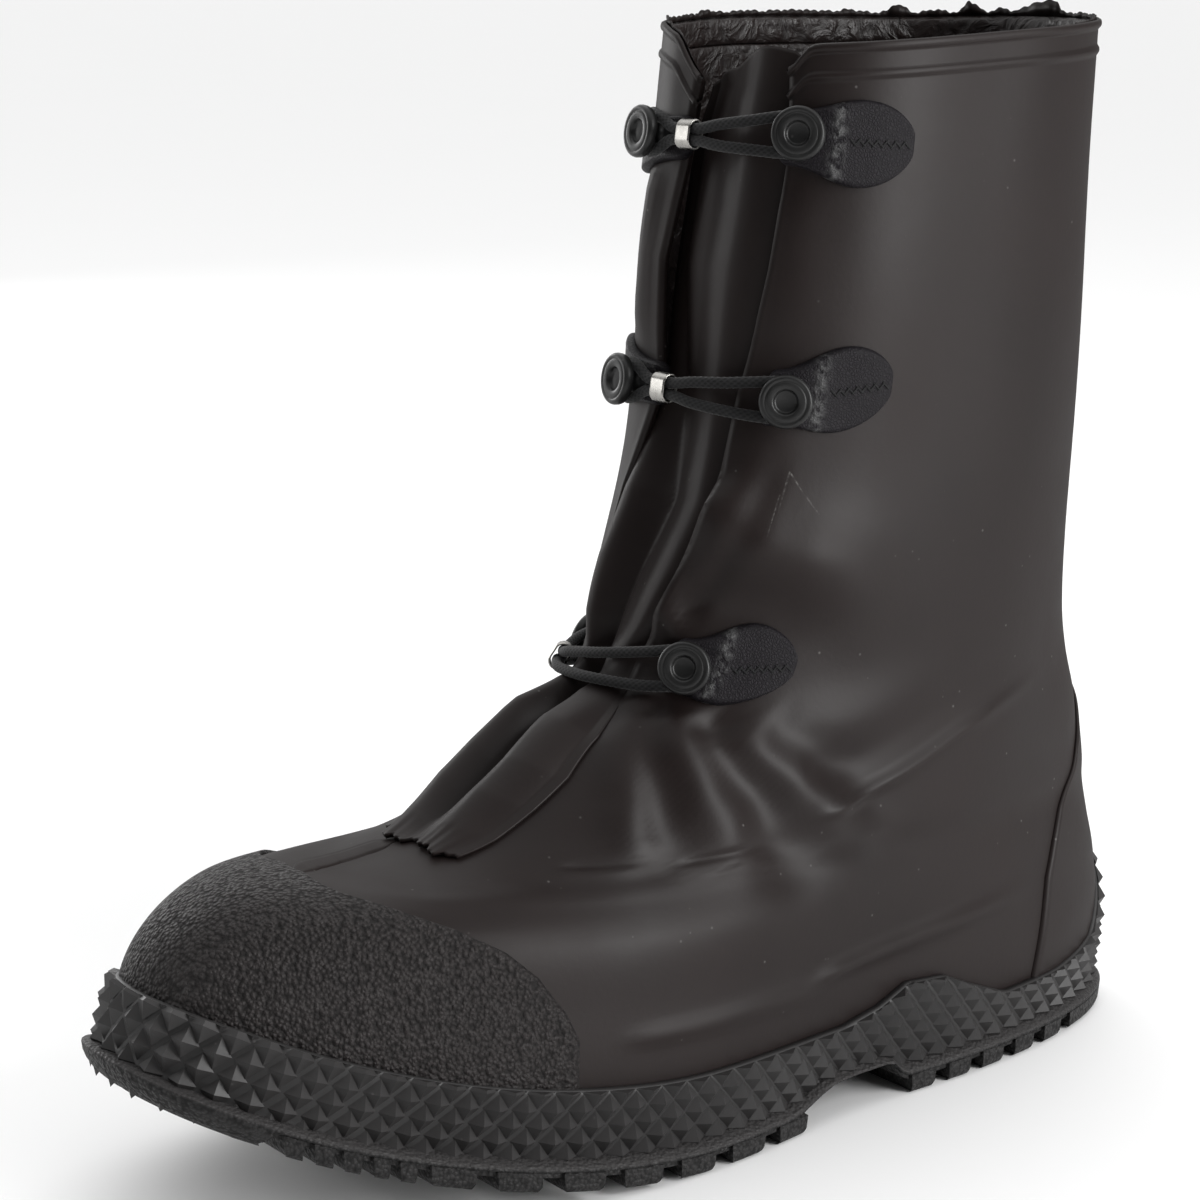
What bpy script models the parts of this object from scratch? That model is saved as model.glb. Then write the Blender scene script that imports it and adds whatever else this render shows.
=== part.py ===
"""Left rubber overboot with a pleated front gusset and three button and loop closures.

Sizes are millimetres and are turned to metres when a mesh is made. The toe points to -Y,
the outer side of the foot is +X and the floor is z = 0.
"""
import math
from collections import namedtuple

import bmesh
import bpy
import numpy as np
from mathutils import Matrix, Vector

MM = 0.001
GAP = 0.3

# Driving dimensions of the sole
BOOT_LENGTH = 330.0
HEEL_Y = 165.0
TOE_SPRING = 40.0
SPRING_START = 0.54
SOLE_THICKNESS = 8.5
LUG_DEPTH = 4.5
LUG_DRAFT = 1.2
HEEL_FLANGE = 6.0
BALL_FLANGE = 7.2
TOE_FLANGE = 12.0
FLANGE_FROM = 0.3
FLANGE_RUN = 0.4
TOE_FROM = 0.78
TOE_RUN = 0.22
FEATHER_Z = SOLE_THICKNESS + GAP

# Tread: transverse grooves, centre channel and the raised arch
FOREFOOT_BACK_Y = 18.0
FOREFOOT_PITCH = 18.0
FOREFOOT_LUG = 13.0
FOREFOOT_GROOVES = 7
HEEL_FRONT_Y = 60.0
HEEL_PITCH = 14.5
HEEL_LUG = 10.0
HEEL_GROOVES = 5
ARCH_RISE = 6.0
CHANNEL_WIDTH = 14.0
CHANNEL_DEPTH = 3.0
CUTTER_WIDTH = 200.0
CHANNEL_PAST_HEEL = 10.0
CHANNEL_SHORT_OF_TOE = 35.0
CHANNEL_STATIONS = 24
CUTTER_BELOW = 10.0

# Walls and overlays
WALL = 2.2
TOE_SWING = -4.0
INNER_ARCH_FACTOR = 2.2
FOXING_THICKNESS = 4.0
OVERLAY_GAP = 0.75
CAP_THICKNESS = 1.4
COUNTER_THICKNESS = 1.0
GUSSET_WALL = 1.6
TAB_THICKNESS = 2.0
TAB_GAP = 1.05

# Closures
CORD_DIAMETER = 3.0
NECK_RADIUS = 3.2
NECK_HEIGHT = 4.8
HEAD_RADIUS = 7.2
HEAD_HEIGHT = 3.4
DISH_RADIUS = 3.0
DISH_DEPTH = 1.2
BUTTON_EDGE = 0.8
FERRULE_LENGTH = 6.0
FERRULE_WALL = 0.5
TAB_LENGTH = 36.0
TAB_FRONT = 6.0
TAB_HALF_FRONT = 7.5
TAB_HALF_BACK = 11.5
TAB_WIDEN_FROM = 0.1
TAB_WIDEN_RUN = 0.5
TAB_ROUND_FROM = 0.6
TAB_TIP = 0.94
TAB_NOSE = 0.75
TAB_ACROSS = 5
TAB_SAMPLE = 0.3
FERRULE_CLEARANCE = 1.5 * GAP
STADIUM_STEPS = 5
WRAP_STEPS = 7

# Mesh density
UPPER_COLUMNS = 38
COLUMN_SPREAD = 0.12
FRONT_COLUMNS = 4
UPPER_STEP = 0.55
RING_COLUMNS = 76
BUTTON_SIDES = 12
TAB_STATIONS = 9
ANGLE_STEP = 0.02
LEVEL_STEP = 0.02
CREST_LEVEL = 5.0
CREST_SAMPLES = 101


def sole_lift(y):
    """Height of the sole line above the floor: flat at heel and ball, then the toe spring."""
    share = (HEEL_Y - np.asarray(y, float)) / BOOT_LENGTH
    return TOE_SPRING * np.clip((share - SPRING_START) / (1 - SPRING_START), 0, None) ** 2


# One row for each section loop of the last, from the feather line up to the collar. A loop runs
# from a back point to a front point and has a half width at heel and ball, a waist dip, a share of
# the toe spring, and a roundness for its front and back ends.
Section = namedtuple("Section", "front_y front_z back_y back_z heel_half ball_half waist_dip "
                     "spring_share front_round back_round")
FEATHER_FRONT_Y = -154.5
SECTIONS = [
    Section(FEATHER_FRONT_Y, FEATHER_Z + float(sole_lift(FEATHER_FRONT_Y)), 164.5, FEATHER_Z,
            45.5, 53.0, 4.5, 1.0, 2.35, 2.6),
    Section(-155.5, 62.0, 167.5, 32.0, 46.5, 55.0, 2.5, 1.0, 2.35, 2.6),
    Section(-147.5, 76.0, 167.0, 48.0, 46.0, 54.0, 2.0, 0.9, 2.35, 2.5),
    Section(-132.5, 84.5, 164.5, 60.0, 45.5, 53.0, 1.5, 0.7, 2.35, 2.4),
    Section(-114.5, 86.0, 163.0, 70.0, 44.5, 49.0, 1.0, 0.5, 2.25, 2.3),
    Section(-94.5, 84.5, 162.0, 78.0, 44.5, 46.5, 0.0, 0.2, 2.2, 2.3),
    Section(-75.0, 88.0, 160.0, 88.0, 44.0, 45.5, 0.0, 0.0, 2.2, 2.3),
    Section(-56.0, 97.0, 157.5, 100.0, 43.5, 44.5, 0.0, 0.0, 2.2, 2.3),
    Section(-36.0, 109.0, 152.5, 114.0, 43.5, 44.0, 0.0, 0.0, 2.2, 2.3),
    Section(-13.0, 122.0, 147.5, 130.0, 44.0, 43.0, 0.0, 0.0, 2.4, 2.4),
    Section(-4.0, 147.0, 145.5, 152.0, 45.0, 44.0, 0.0, 0.0, 2.6, 2.5),
    Section(9.0, 185.0, 145.5, 190.0, 46.0, 44.5, 0.0, 0.0, 2.8, 2.6),
    Section(17.0, 240.0, 146.0, 244.0, 47.0, 46.0, 0.0, 0.0, 3.0, 2.6),
    Section(25.0, 293.0, 147.0, 299.0, 47.5, 46.5, 0.0, 0.0, 3.0, 2.6),
]
COLLAR = len(SECTIONS) - 1
WAIST_AT = 0.40
WAIST_SPREAD = 0.12
HEEL_AT = 0.20
BALL_AT = 0.65
SWING_FROM = 0.45
SWING_LEVELS = 6.0

# Edges of the front slit in the upper: section level, then loop angles in degrees from the front
# centre, positive on the outer side
Edge = namedtuple("Edge", "level near far")
THROAT = [
    Edge(6.6, 6.0, -8.0),
    Edge(7.5, 9.0, -12.0),
    Edge(8.6, 8.0, -14.0),
    Edge(9.3, 8.0, -15.0),
    Edge(10.0, 13.5, -16.0),
    Edge(10.7, 19.0, -12.5),
    Edge(11.3, 19.0, -3.0),
    Edge(11.9, 23.0, -6.0),
    Edge(12.4, 24.0, -3.0),
    Edge(13.0, 20.5, -2.0),
]

# The gusset lies over the vamp below the third closure and inside the slit above it. Proud is how
# far its outer face stands out of the upper's face at the edges, and pleat the height of its folds.
Strip = namedtuple("Strip", "level near far proud pleat")
GUSSET_MARGIN = 0.6
GUSSET = [
    Strip(5.9, 19.0, -20.0, 2.7, 0.6),
    Strip(6.5, 22.0, -23.0, 2.7, 1.4),
    Strip(7.4, 23.0, -25.0, 2.7, 2.0),
    Strip(8.2, 19.0, -26.0, 2.7, 2.2),
    Strip(8.8, 12.0, -22.0, 2.7, 2.0),
    Strip(9.26, 8.0 - GUSSET_MARGIN, -15.0 + GUSSET_MARGIN, 2.6, 1.0),
    Strip(9.8, 11.9 - GUSSET_MARGIN, -15.7 + GUSSET_MARGIN, -1.5, 2.0),
    Strip(10.0, 13.5 - GUSSET_MARGIN, -16.0 + GUSSET_MARGIN, -2.5, 3.0),
    Strip(10.7, 19.0 - GUSSET_MARGIN, -12.5 + GUSSET_MARGIN, -3.0, 3.0),
    Strip(11.3, 19.0 - GUSSET_MARGIN, -3.0 + GUSSET_MARGIN, -3.5, 2.0),
    Strip(11.9, 23.0 - GUSSET_MARGIN, -6.0 + GUSSET_MARGIN, -3.5, 3.0),
    Strip(12.4, 24.0 - GUSSET_MARGIN, -3.0 + GUSSET_MARGIN, -4.0, 3.0),
    Strip(13.0, 20.5 - GUSSET_MARGIN, -2.0 + GUSSET_MARGIN, -4.0, 3.0),
]
GUSSET_COLUMNS = 8
GUSSET_END_ROWS = 2

# Height of the foxing's top edge over the sole line, by loop angle: hump at the arch, peak at the heel
Crest = namedtuple("Crest", "angle height")
FOXING = [
    Crest(0.0, 28.0), Crest(25.0, 29.0), Crest(55.0, 28.0), Crest(80.0, 27.0), Crest(100.0, 26.5),
    Crest(105.0, 29.0), Crest(109.0, 33.5), Crest(115.0, 32.0), Crest(120.0, 26.5),
    Crest(127.0, 20.0), Crest(140.0, 20.0), Crest(155.0, 23.0), Crest(165.0, 36.0),
    Crest(172.0, 45.0), Crest(180.0, 48.0),
]
FOXING_LEVELS = 3

# Edge of the toe cap and of the heel counter: section level and loop angle
Outline = namedtuple("Outline", "level angle")
TOE_CAP = [
    Outline(0.9, 66.5), Outline(1.6, 65.5), Outline(2.0, 63.0), Outline(2.5, 58.0),
    Outline(2.9, 52.0), Outline(3.25, 44.0), Outline(3.6, 32.0), Outline(3.9, 17.0),
    Outline(4.2, 4.0),
]
HEEL_COUNTER = [
    Outline(0.3, 133.5), Outline(2.1, 136.0), Outline(3.7, 141.5), Outline(5.5, 151.0),
    Outline(6.6, 161.0), Outline(7.4, 174.0),
]
CAP_MARGIN = 0.8
COUNTER_MARGIN = 2.2
CAP_ROWS = 11
CAP_COLUMNS = 22
COUNTER_ROWS = 12
COUNTER_COLUMNS = 12

# One row for each closure, top to bottom: level and angle of the button on each side, the droop of
# the tab's rear end, how far the loop bows out over the gusset, and the ferrule's share of the way
# from the outer button to the inner one
Closure = namedtuple("Closure", "name near_level near_angle far_level far_angle droop bow ferrule")
CLOSURES = [
    Closure("top", 12.49, 28.8, 12.46, -8.5, 4.0, 2.0, 0.76),
    Closure("middle", 11.30, 33.8, 11.31, -8.0, -2.0, 2.0, 0.78),
    Closure("low", 9.32, 26.0, 8.70, -58.0, 2.0, 3.5, 0.64),
]
BOW_POWER = 3

# Strands of a loop on the way from the outer button to the ferrule: share of that way, and how far
# they stand apart there, from 0 inside the ferrule to 1 at a button's neck
Strand = namedtuple("Strand", "share spread")
STRANDS = [Strand(0.22, 0.9), Strand(0.52, 0.62), Strand(0.82, 0.34)]
FAN = Strand(0.5, 0.7)

# Finishes: colour, roughness and metallic value
Finish = namedtuple("Finish", "colour roughness metallic")
RUBBER = Finish((0.022, 0.020, 0.019, 1.0), 0.45, 0.0)
GRAINED = Finish((0.017, 0.017, 0.018, 1.0), 0.75, 0.0)
TAB_SKIN = Finish((0.020, 0.018, 0.022, 1.0), 0.6, 0.0)
BUTTON_PLASTIC = Finish((0.015, 0.015, 0.016, 1.0), 0.4, 0.0)
ELASTIC = Finish((0.012, 0.012, 0.013, 1.0), 0.85, 0.0)
STEEL = Finish((0.62, 0.62, 0.60, 1.0), 0.3, 1.0)


def smooth(t):
    """Smooth step from 0 to 1."""
    t = np.clip(t, 0, 1)
    return t * t * (3 - 2 * t)


def section_at(level):
    """Section sizes at any level, on a smooth curve through the rows of the table."""
    table = np.array(SECTIONS, float)
    level = np.clip(np.asarray(level, float), 0, COLLAR)
    row = np.minimum(level.astype(int), COLLAR - 1)
    t = (level - row)[..., None]
    start, end = table[row], table[row + 1]
    slope_start = (end - table[np.maximum(row - 1, 0)]) / 2
    slope_end = (table[np.minimum(row + 2, COLLAR)] - start) / 2
    value = ((2 * t ** 3 - 3 * t ** 2 + 1) * start + (t ** 3 - 2 * t ** 2 + t) * slope_start
             + (3 * t ** 2 - 2 * t ** 3) * end + (t ** 3 - t ** 2) * slope_end)
    return Section(*np.moveaxis(value, -1, 0))


def upper_point(angle, level):
    """Outer face of the upper at a loop angle (0 at the front, positive outwards) and a level."""
    angle, level = np.broadcast_arrays(np.asarray(angle, float), np.asarray(level, float))
    s = section_at(level)
    along = (1 + np.cos(angle)) / 2
    y = s.back_y + (s.front_y - s.back_y) * along
    even_rise = s.front_z - s.back_z - s.spring_share * sole_lift(s.front_y)
    z = s.back_z + even_rise * along + s.spring_share * sole_lift(y)
    roundness = s.back_round + (s.front_round - s.back_round) * smooth(along)
    end_shape = np.clip(1 - np.abs(2 * along - 1) ** roundness, 0, 1) ** (1 / roundness)
    side = np.sign(np.sin(angle))
    dip = s.waist_dip * np.where(side < 0, INNER_ARCH_FACTOR, 1.0)
    half = s.heel_half + (s.ball_half - s.heel_half) * smooth((along - HEEL_AT) / (BALL_AT - HEEL_AT))
    half = half - dip * np.exp(-((along - WAIST_AT) / WAIST_SPREAD) ** 2)
    swing = TOE_SWING * np.clip(1 - level / SWING_LEVELS, 0, 1)
    x = side * half * end_shape + swing * smooth((along - SWING_FROM) / (1 - SWING_FROM))
    return np.stack([x, y, z], axis=-1)


def upper_normal(angle, level):
    """Outward normal of the upper's face."""
    angle, level = np.broadcast_arrays(np.asarray(angle, float), np.asarray(level, float))
    around = upper_point(angle + ANGLE_STEP, level) - upper_point(angle - ANGLE_STEP, level)
    top = np.minimum(level + LEVEL_STEP, COLLAR)
    bottom = np.maximum(level - LEVEL_STEP, 0)
    up = upper_point(angle, top) - upper_point(angle, bottom)
    normal = np.cross(around, up)
    return normal / np.linalg.norm(normal, axis=-1, keepdims=True)


def shell_point(angle, level, out):
    """Point at a distance out of the upper's face."""
    return upper_point(angle, level) + np.asarray(out, float)[..., None] * upper_normal(angle, level)


def level_at_height(angle, height):
    """Section level at which the upper reaches a height over the sole line, for each loop angle."""
    levels = np.linspace(0, CREST_LEVEL, CREST_SAMPLES)
    result = []
    for one_angle, one_height in zip(angle, height):
        points = upper_point(one_angle, levels)
        over_sole = points[:, 2] - sole_lift(points[:, 1])
        result.append(np.interp(one_height, over_sole, levels))
    return np.array(result)


def foxing_height(angle):
    """Height of the foxing's top edge over the sole line."""
    turned = np.abs((np.degrees(angle) + 180) % 360 - 180)
    return np.interp(turned, [c.angle for c in FOXING], [c.height for c in FOXING])


def column(rows, level, name):
    """One column of a level table, read at any level."""
    return np.interp(level, [r.level for r in rows], [getattr(r, name) for r in rows])


def ring_angles():
    """Loop angles of a closed ring, spread so that its points lie more evenly along the foot."""
    even = np.linspace(0, 2 * math.pi, RING_COLUMNS, endpoint=False)
    return even + COLUMN_SPREAD * np.sin(2 * even)


def sole_outline(angle, out):
    """Plan outline at a distance out of the feather line."""
    point = upper_point(angle, np.zeros_like(angle))
    ahead = upper_point(angle + ANGLE_STEP, np.zeros_like(angle))
    behind = upper_point(angle - ANGLE_STEP, np.zeros_like(angle))
    run = (ahead - behind)[:, :2]
    run = run / np.linalg.norm(run, axis=1, keepdims=True)
    outward = np.stack([run[:, 1], -run[:, 0]], axis=1)
    return point[:, :2] + np.asarray(out, float)[..., None] * outward


def flange(angle):
    """Width of the outsole outside the feather line: narrow at the heel, widest at the toe."""
    along = (1 + np.cos(angle)) / 2
    side = HEEL_FLANGE + (BALL_FLANGE - HEEL_FLANGE) * smooth((along - FLANGE_FROM) / FLANGE_RUN)
    return side + (TOE_FLANGE - BALL_FLANGE) * smooth((along - TOE_FROM) / TOE_RUN)


def collection(name):
    """New collection under the scene."""
    group = bpy.data.collections.new(name)
    bpy.context.scene.collection.children.link(group)
    return group


def finish_material(name, finish):
    """Principled material of one piece."""
    material = bpy.data.materials.new(name)
    material.use_nodes = True
    shader = material.node_tree.nodes["Principled BSDF"]
    shader.inputs["Base Color"].default_value = finish.colour
    shader.inputs["Roughness"].default_value = finish.roughness
    shader.inputs["Metallic"].default_value = finish.metallic
    return material


def add_piece(name, data, finish, group):
    """Object of one piece, with its own material."""
    piece = bpy.data.objects.new(name, data)
    if not data.materials:
        data.materials.append(finish_material(name, finish))
    group.objects.link(piece)
    return piece


def mesh_from(name, points, faces):
    """Smooth mesh in metres from points in millimetres."""
    mesh = bpy.data.meshes.new(name)
    mesh.from_pydata((np.asarray(points) * MM).tolist(), [], faces)
    mesh.update()
    mesh.shade_smooth()
    return mesh


def grid_faces(rows, columns, closed=False):
    """Quads of a grid of points, row by row, closed around where asked."""
    faces = []
    for r in range(rows - 1):
        for c in range(columns if closed else columns - 1):
            n = (c + 1) % columns
            faces.append((r * columns + c, r * columns + n, (r + 1) * columns + n, (r + 1) * columns + c))
    return faces


def add_wall(piece, thickness):
    """Wall from a face: the given face stays outside and the wall grows inwards."""
    solid = piece.modifiers.new("wall", "SOLIDIFY")
    solid.thickness = thickness * MM
    solid.offset = -1.0
    solid.use_even_offset = True


def sheet_piece(name, points, thickness, finish, group):
    """Overlay from a grid of outer points (rows, columns, 3) with a wall inwards."""
    rows, columns = points.shape[:2]
    mesh = mesh_from(name, points.reshape(-1, 3), grid_faces(rows, columns))
    piece = add_piece(name, mesh, finish, group)
    add_wall(piece, thickness)
    return piece


def slit_levels():
    """Levels of the rows along the front slit, shared by the upper and the gusset."""
    bottom = THROAT[0].level
    return np.linspace(bottom, COLLAR, round((COLLAR - bottom) / UPPER_STEP) + 1)


def make_upper(group):
    """Hollow foot and shaft, open underneath, at the collar and along the front slit."""
    bottom = THROAT[0].level
    below = np.linspace(0, bottom, round(bottom / UPPER_STEP) + 1)
    levels = np.concatenate([below, slit_levels()[1:]])
    near = np.radians(column(THROAT, levels, "near"))
    far = np.radians(column(THROAT, levels, "far"))
    around = np.linspace(0, 1, UPPER_COLUMNS + 1)
    across = np.linspace(0, 1, FRONT_COLUMNS + 1)[1:-1]
    back = near[:, None] + (far + 2 * math.pi - near)[:, None] * around
    bend = COLUMN_SPREAD * np.sin(2 * back)
    back = back + bend - bend[:, :1] * (1 - around) - bend[:, -1:] * around
    front = far[:, None] + (near - far)[:, None] * across
    angles = np.concatenate([back, front], axis=1)
    points = upper_point(angles, levels[:, None])
    columns = angles.shape[1]
    faces = []
    for face in grid_faces(len(levels), columns, closed=True):
        in_front = any(index % columns > UPPER_COLUMNS for index in face)
        if face[0] // columns < len(below) - 1 or not in_front:
            faces.append(face)
    mesh = mesh_from("upper", points.reshape(-1, 3), faces)
    drop_loose_points(mesh)
    piece = add_piece("upper", mesh, RUBBER, group)
    add_wall(piece, WALL)


def drop_loose_points(mesh):
    """Remove the points that no face uses."""
    work = bmesh.new()
    work.from_mesh(mesh)
    bmesh.ops.delete(work, geom=[v for v in work.verts if not v.link_faces], context="VERTS")
    work.to_mesh(mesh)
    work.free()


def make_gusset(group):
    """Pleated strip: over the vamp at its lower end, inside the slit above the low closure."""
    end_levels = np.linspace(GUSSET[0].level, THROAT[0].level, GUSSET_END_ROWS, endpoint=False)
    levels = np.concatenate([end_levels, slit_levels()])[:, None]
    across = np.linspace(-1, 1, GUSSET_COLUMNS + 1)[None, :]
    near = np.radians(column(GUSSET, levels, "near"))
    far = np.radians(column(GUSSET, levels, "far"))
    angles = far + (near - far) * (across + 1) / 2
    pleat = column(GUSSET, levels, "pleat") * (1 - np.cos(2 * math.pi * across)) / 2
    out = column(GUSSET, levels, "proud") + pleat
    sheet_piece("gusset", shell_point(angles, levels, out), GUSSET_WALL, RUBBER, group)


def make_toe_cap(group):
    """Grained overlay over the toe, from the foxing up to its pointed edge on the vamp."""
    top = TOE_CAP[-1].level
    share = np.linspace(0, 1, CAP_ROWS)[:, None]
    across = np.linspace(-1, 1, CAP_COLUMNS + 1)
    widest = math.radians(TOE_CAP[0].angle)
    edge_levels = level_at_height(across * widest, foxing_height(across * widest) + CAP_MARGIN)
    levels = edge_levels[None, :] + (top - edge_levels)[None, :] * share
    width = np.radians(column(TOE_CAP, levels, "angle"))
    points = shell_point(width * across[None, :], levels, np.full(levels.shape, OVERLAY_GAP + CAP_THICKNESS))
    sheet_piece("toe_cap", points, CAP_THICKNESS, GRAINED, group)


def make_heel_counter(group):
    """Raised panel up the back of the heel."""
    top = HEEL_COUNTER[-1].level
    share = np.linspace(0, 1, COUNTER_ROWS)[:, None]
    across = np.linspace(-1, 1, COUNTER_COLUMNS + 1)
    widest = math.pi - math.radians(HEEL_COUNTER[0].angle)
    angle = math.pi + across * widest
    edge_levels = level_at_height(angle, foxing_height(angle) + COUNTER_MARGIN)
    levels = edge_levels[None, :] + (top - edge_levels)[None, :] * share
    width = math.pi - np.radians(column(HEEL_COUNTER, levels, "angle"))
    angles = math.pi + width * across[None, :]
    points = shell_point(angles, levels, np.full(levels.shape, OVERLAY_GAP + COUNTER_THICKNESS))
    sheet_piece("heel_counter", points, COUNTER_THICKNESS, RUBBER, group)


def make_foxing(group):
    """Closed band around the foot between the outsole and its wavy top edge."""
    angle = ring_angles()
    top = foxing_height(angle)
    rows = []
    for share in np.linspace(0, 1, FOXING_LEVELS):
        level = level_at_height(angle, FEATHER_Z + (top - FEATHER_Z) * share)
        rows.append(shell_point(angle, level, np.full(angle.shape, OVERLAY_GAP + FOXING_THICKNESS)))
    for share in np.linspace(1, 0, FOXING_LEVELS):
        level = level_at_height(angle, FEATHER_Z + (top - FEATHER_Z) * share)
        rows.append(shell_point(angle, level, np.full(angle.shape, OVERLAY_GAP)))
    for row in (rows[0], rows[-1]):
        row[:, 2] = FEATHER_Z + sole_lift(row[:, 1])
    points = np.concatenate(rows)
    faces = grid_faces(len(rows), RING_COLUMNS, closed=True)
    last = (len(rows) - 1) * RING_COLUMNS
    for c in range(RING_COLUMNS):
        n = (c + 1) % RING_COLUMNS
        faces.append((last + c, last + n, n, c))
    add_piece("foxing", mesh_from("foxing", points, faces), GRAINED, group)


def box_into(work, size, centre, tilt):
    """Add a box to a bmesh, tilted about X."""
    place = (Matrix.Translation(Vector(centre) * MM) @ Matrix.Rotation(tilt, 4, "X")
             @ Matrix.Diagonal((*(Vector(size) * MM), 1.0)))
    bmesh.ops.create_cube(work, size=1.0, matrix=place)


def groove_places():
    """Middle of each transverse groove and its width along the foot."""
    places = []
    width = FOREFOOT_PITCH - FOREFOOT_LUG
    for i in range(FOREFOOT_GROOVES):
        places.append((FOREFOOT_BACK_Y - FOREFOOT_LUG - width / 2 - i * FOREFOOT_PITCH, width))
    width = HEEL_PITCH - HEEL_LUG
    for i in range(HEEL_GROOVES):
        places.append((HEEL_FRONT_Y + HEEL_LUG + width / 2 + i * HEEL_PITCH, width))
    return places


def make_tread_cutter(group):
    """Boxes that cut the transverse grooves and the arch from below."""
    work = bmesh.new()
    for y, width in groove_places():
        slope = float(sole_lift(y + 1) - sole_lift(y - 1)) / 2
        box_into(work, (CUTTER_WIDTH, width, 2 * LUG_DEPTH), (0, y, float(sole_lift(y))), math.atan(slope))
    arch_length = HEEL_FRONT_Y - FOREFOOT_BACK_Y
    arch_middle = (HEEL_FRONT_Y + FOREFOOT_BACK_Y) / 2
    box_into(work, (CUTTER_WIDTH, arch_length, 2 * ARCH_RISE), (0, arch_middle, 0), 0)
    mesh = bpy.data.meshes.new("tread_cutter")
    work.to_mesh(mesh)
    work.free()
    cutter = bpy.data.objects.new("tread_cutter", mesh)
    group.objects.link(cutter)
    cutter.hide_render = True
    cutter.display_type = "WIRE"
    return cutter


def make_channel_cutter(group):
    """Bar along the middle of the sole that follows its line, for the centre channel."""
    stations = np.linspace(HEEL_Y + CHANNEL_PAST_HEEL, CHANNEL_SHORT_OF_TOE - HEEL_Y, CHANNEL_STATIONS)
    half = CHANNEL_WIDTH / 2
    rows = []
    for y in stations:
        low = float(sole_lift(y)) - CUTTER_BELOW
        high = float(sole_lift(y)) + CHANNEL_DEPTH
        middle = float(TOE_SWING * smooth((HEEL_Y - y) / BOOT_LENGTH))
        rows.append([(middle - half, y, low), (middle + half, y, low),
                     (middle + half, y, high), (middle - half, y, high)])
    points = np.array(rows).reshape(-1, 3)
    faces = grid_faces(len(stations), 4, closed=True)
    faces.append((3, 2, 1, 0))
    end = (len(stations) - 1) * 4
    faces.append((end, end + 1, end + 2, end + 3))
    cutter = bpy.data.objects.new("channel_cutter", mesh_from("channel_cutter", points, faces))
    work = bmesh.new()
    work.from_mesh(cutter.data)
    bmesh.ops.recalc_face_normals(work, faces=work.faces)
    work.to_mesh(cutter.data)
    work.free()
    group.objects.link(cutter)
    cutter.hide_render = True
    cutter.display_type = "WIRE"
    return cutter


def make_outsole(group, cutter_group):
    """Sole plate with flange, toe spring, cut arch, heel and transverse lugs."""
    half_count = RING_COLUMNS // 2
    angle = ring_angles()
    edge = flange(angle)
    rings = []
    for height, inset in ((0.0, LUG_DRAFT), (LUG_DEPTH, 0.0), (SOLE_THICKNESS, 0.0)):
        plan = sole_outline(angle, edge - inset)
        z = sole_lift(plan[:, 1]) + height
        rings.append(np.column_stack([plan, z]))
    points = np.concatenate(rings)
    faces = grid_faces(len(rings), RING_COLUMNS, closed=True)
    top = (len(rings) - 1) * RING_COLUMNS
    for i in range(half_count):
        left, right = i, (RING_COLUMNS - i) % RING_COLUMNS
        next_left, next_right = i + 1, RING_COLUMNS - i - 1
        ladder = [left, next_left, next_right, right]
        rung = list(dict.fromkeys(ladder))
        faces.append(tuple(top + index for index in rung))
        faces.append(tuple(reversed(rung)))
    mesh = mesh_from("outsole", points, faces)
    work = bmesh.new()
    work.from_mesh(mesh)
    bmesh.ops.recalc_face_normals(work, faces=work.faces)
    work.to_mesh(mesh)
    work.free()
    mesh.shade_flat()
    piece = add_piece("outsole", mesh, GRAINED, group)
    for cutter in (make_tread_cutter(cutter_group), make_channel_cutter(cutter_group)):
        cut = piece.modifiers.new(cutter.name, "BOOLEAN")
        cut.operation = "DIFFERENCE"
        cut.solver = "EXACT"
        cut.object = cutter


def arc_steps(angle, level):
    """Millimetres per radian around the loop and per level up the face."""
    around = upper_point(angle + ANGLE_STEP, level) - upper_point(angle - ANGLE_STEP, level)
    up = upper_point(angle, level + LEVEL_STEP) - upper_point(angle, level - LEVEL_STEP)
    return np.linalg.norm(around) / (2 * ANGLE_STEP), np.linalg.norm(up) / (2 * LEVEL_STEP)


def make_tab(name, level, angle, side, droop, group):
    """Tongue shaped tab on the shaft: narrow at the button, wide and round at its rear end."""
    stations = np.sin(np.linspace(0, math.pi / 2, TAB_STATIONS))
    across = np.linspace(-1, 1, TAB_ACROSS)
    per_radian, per_level = arc_steps(angle + side * TAB_SAMPLE, level)
    widen = smooth((stations - TAB_WIDEN_FROM) / TAB_WIDEN_RUN)
    half = TAB_HALF_FRONT + (TAB_HALF_BACK - TAB_HALF_FRONT) * widen
    tip = np.clip((stations - TAB_ROUND_FROM) / (1 - TAB_ROUND_FROM), 0, 1)
    half = half * np.sqrt(1 - TAB_TIP * tip ** 2)
    half[0] *= TAB_NOSE
    distance = -TAB_FRONT + TAB_LENGTH * stations
    angles = angle + side * distance / per_radian
    drop = -droop * stations
    levels = level + (drop[None, :] + across[:, None] * half[None, :]) / per_level
    angles = np.broadcast_to(angles, levels.shape)
    if side < 0:
        levels, angles = levels[::-1], angles[::-1]
    out = np.full(levels.shape, TAB_GAP + TAB_THICKNESS)
    sheet_piece(name, shell_point(angles, levels, out), TAB_THICKNESS, TAB_SKIN, group)


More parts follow.
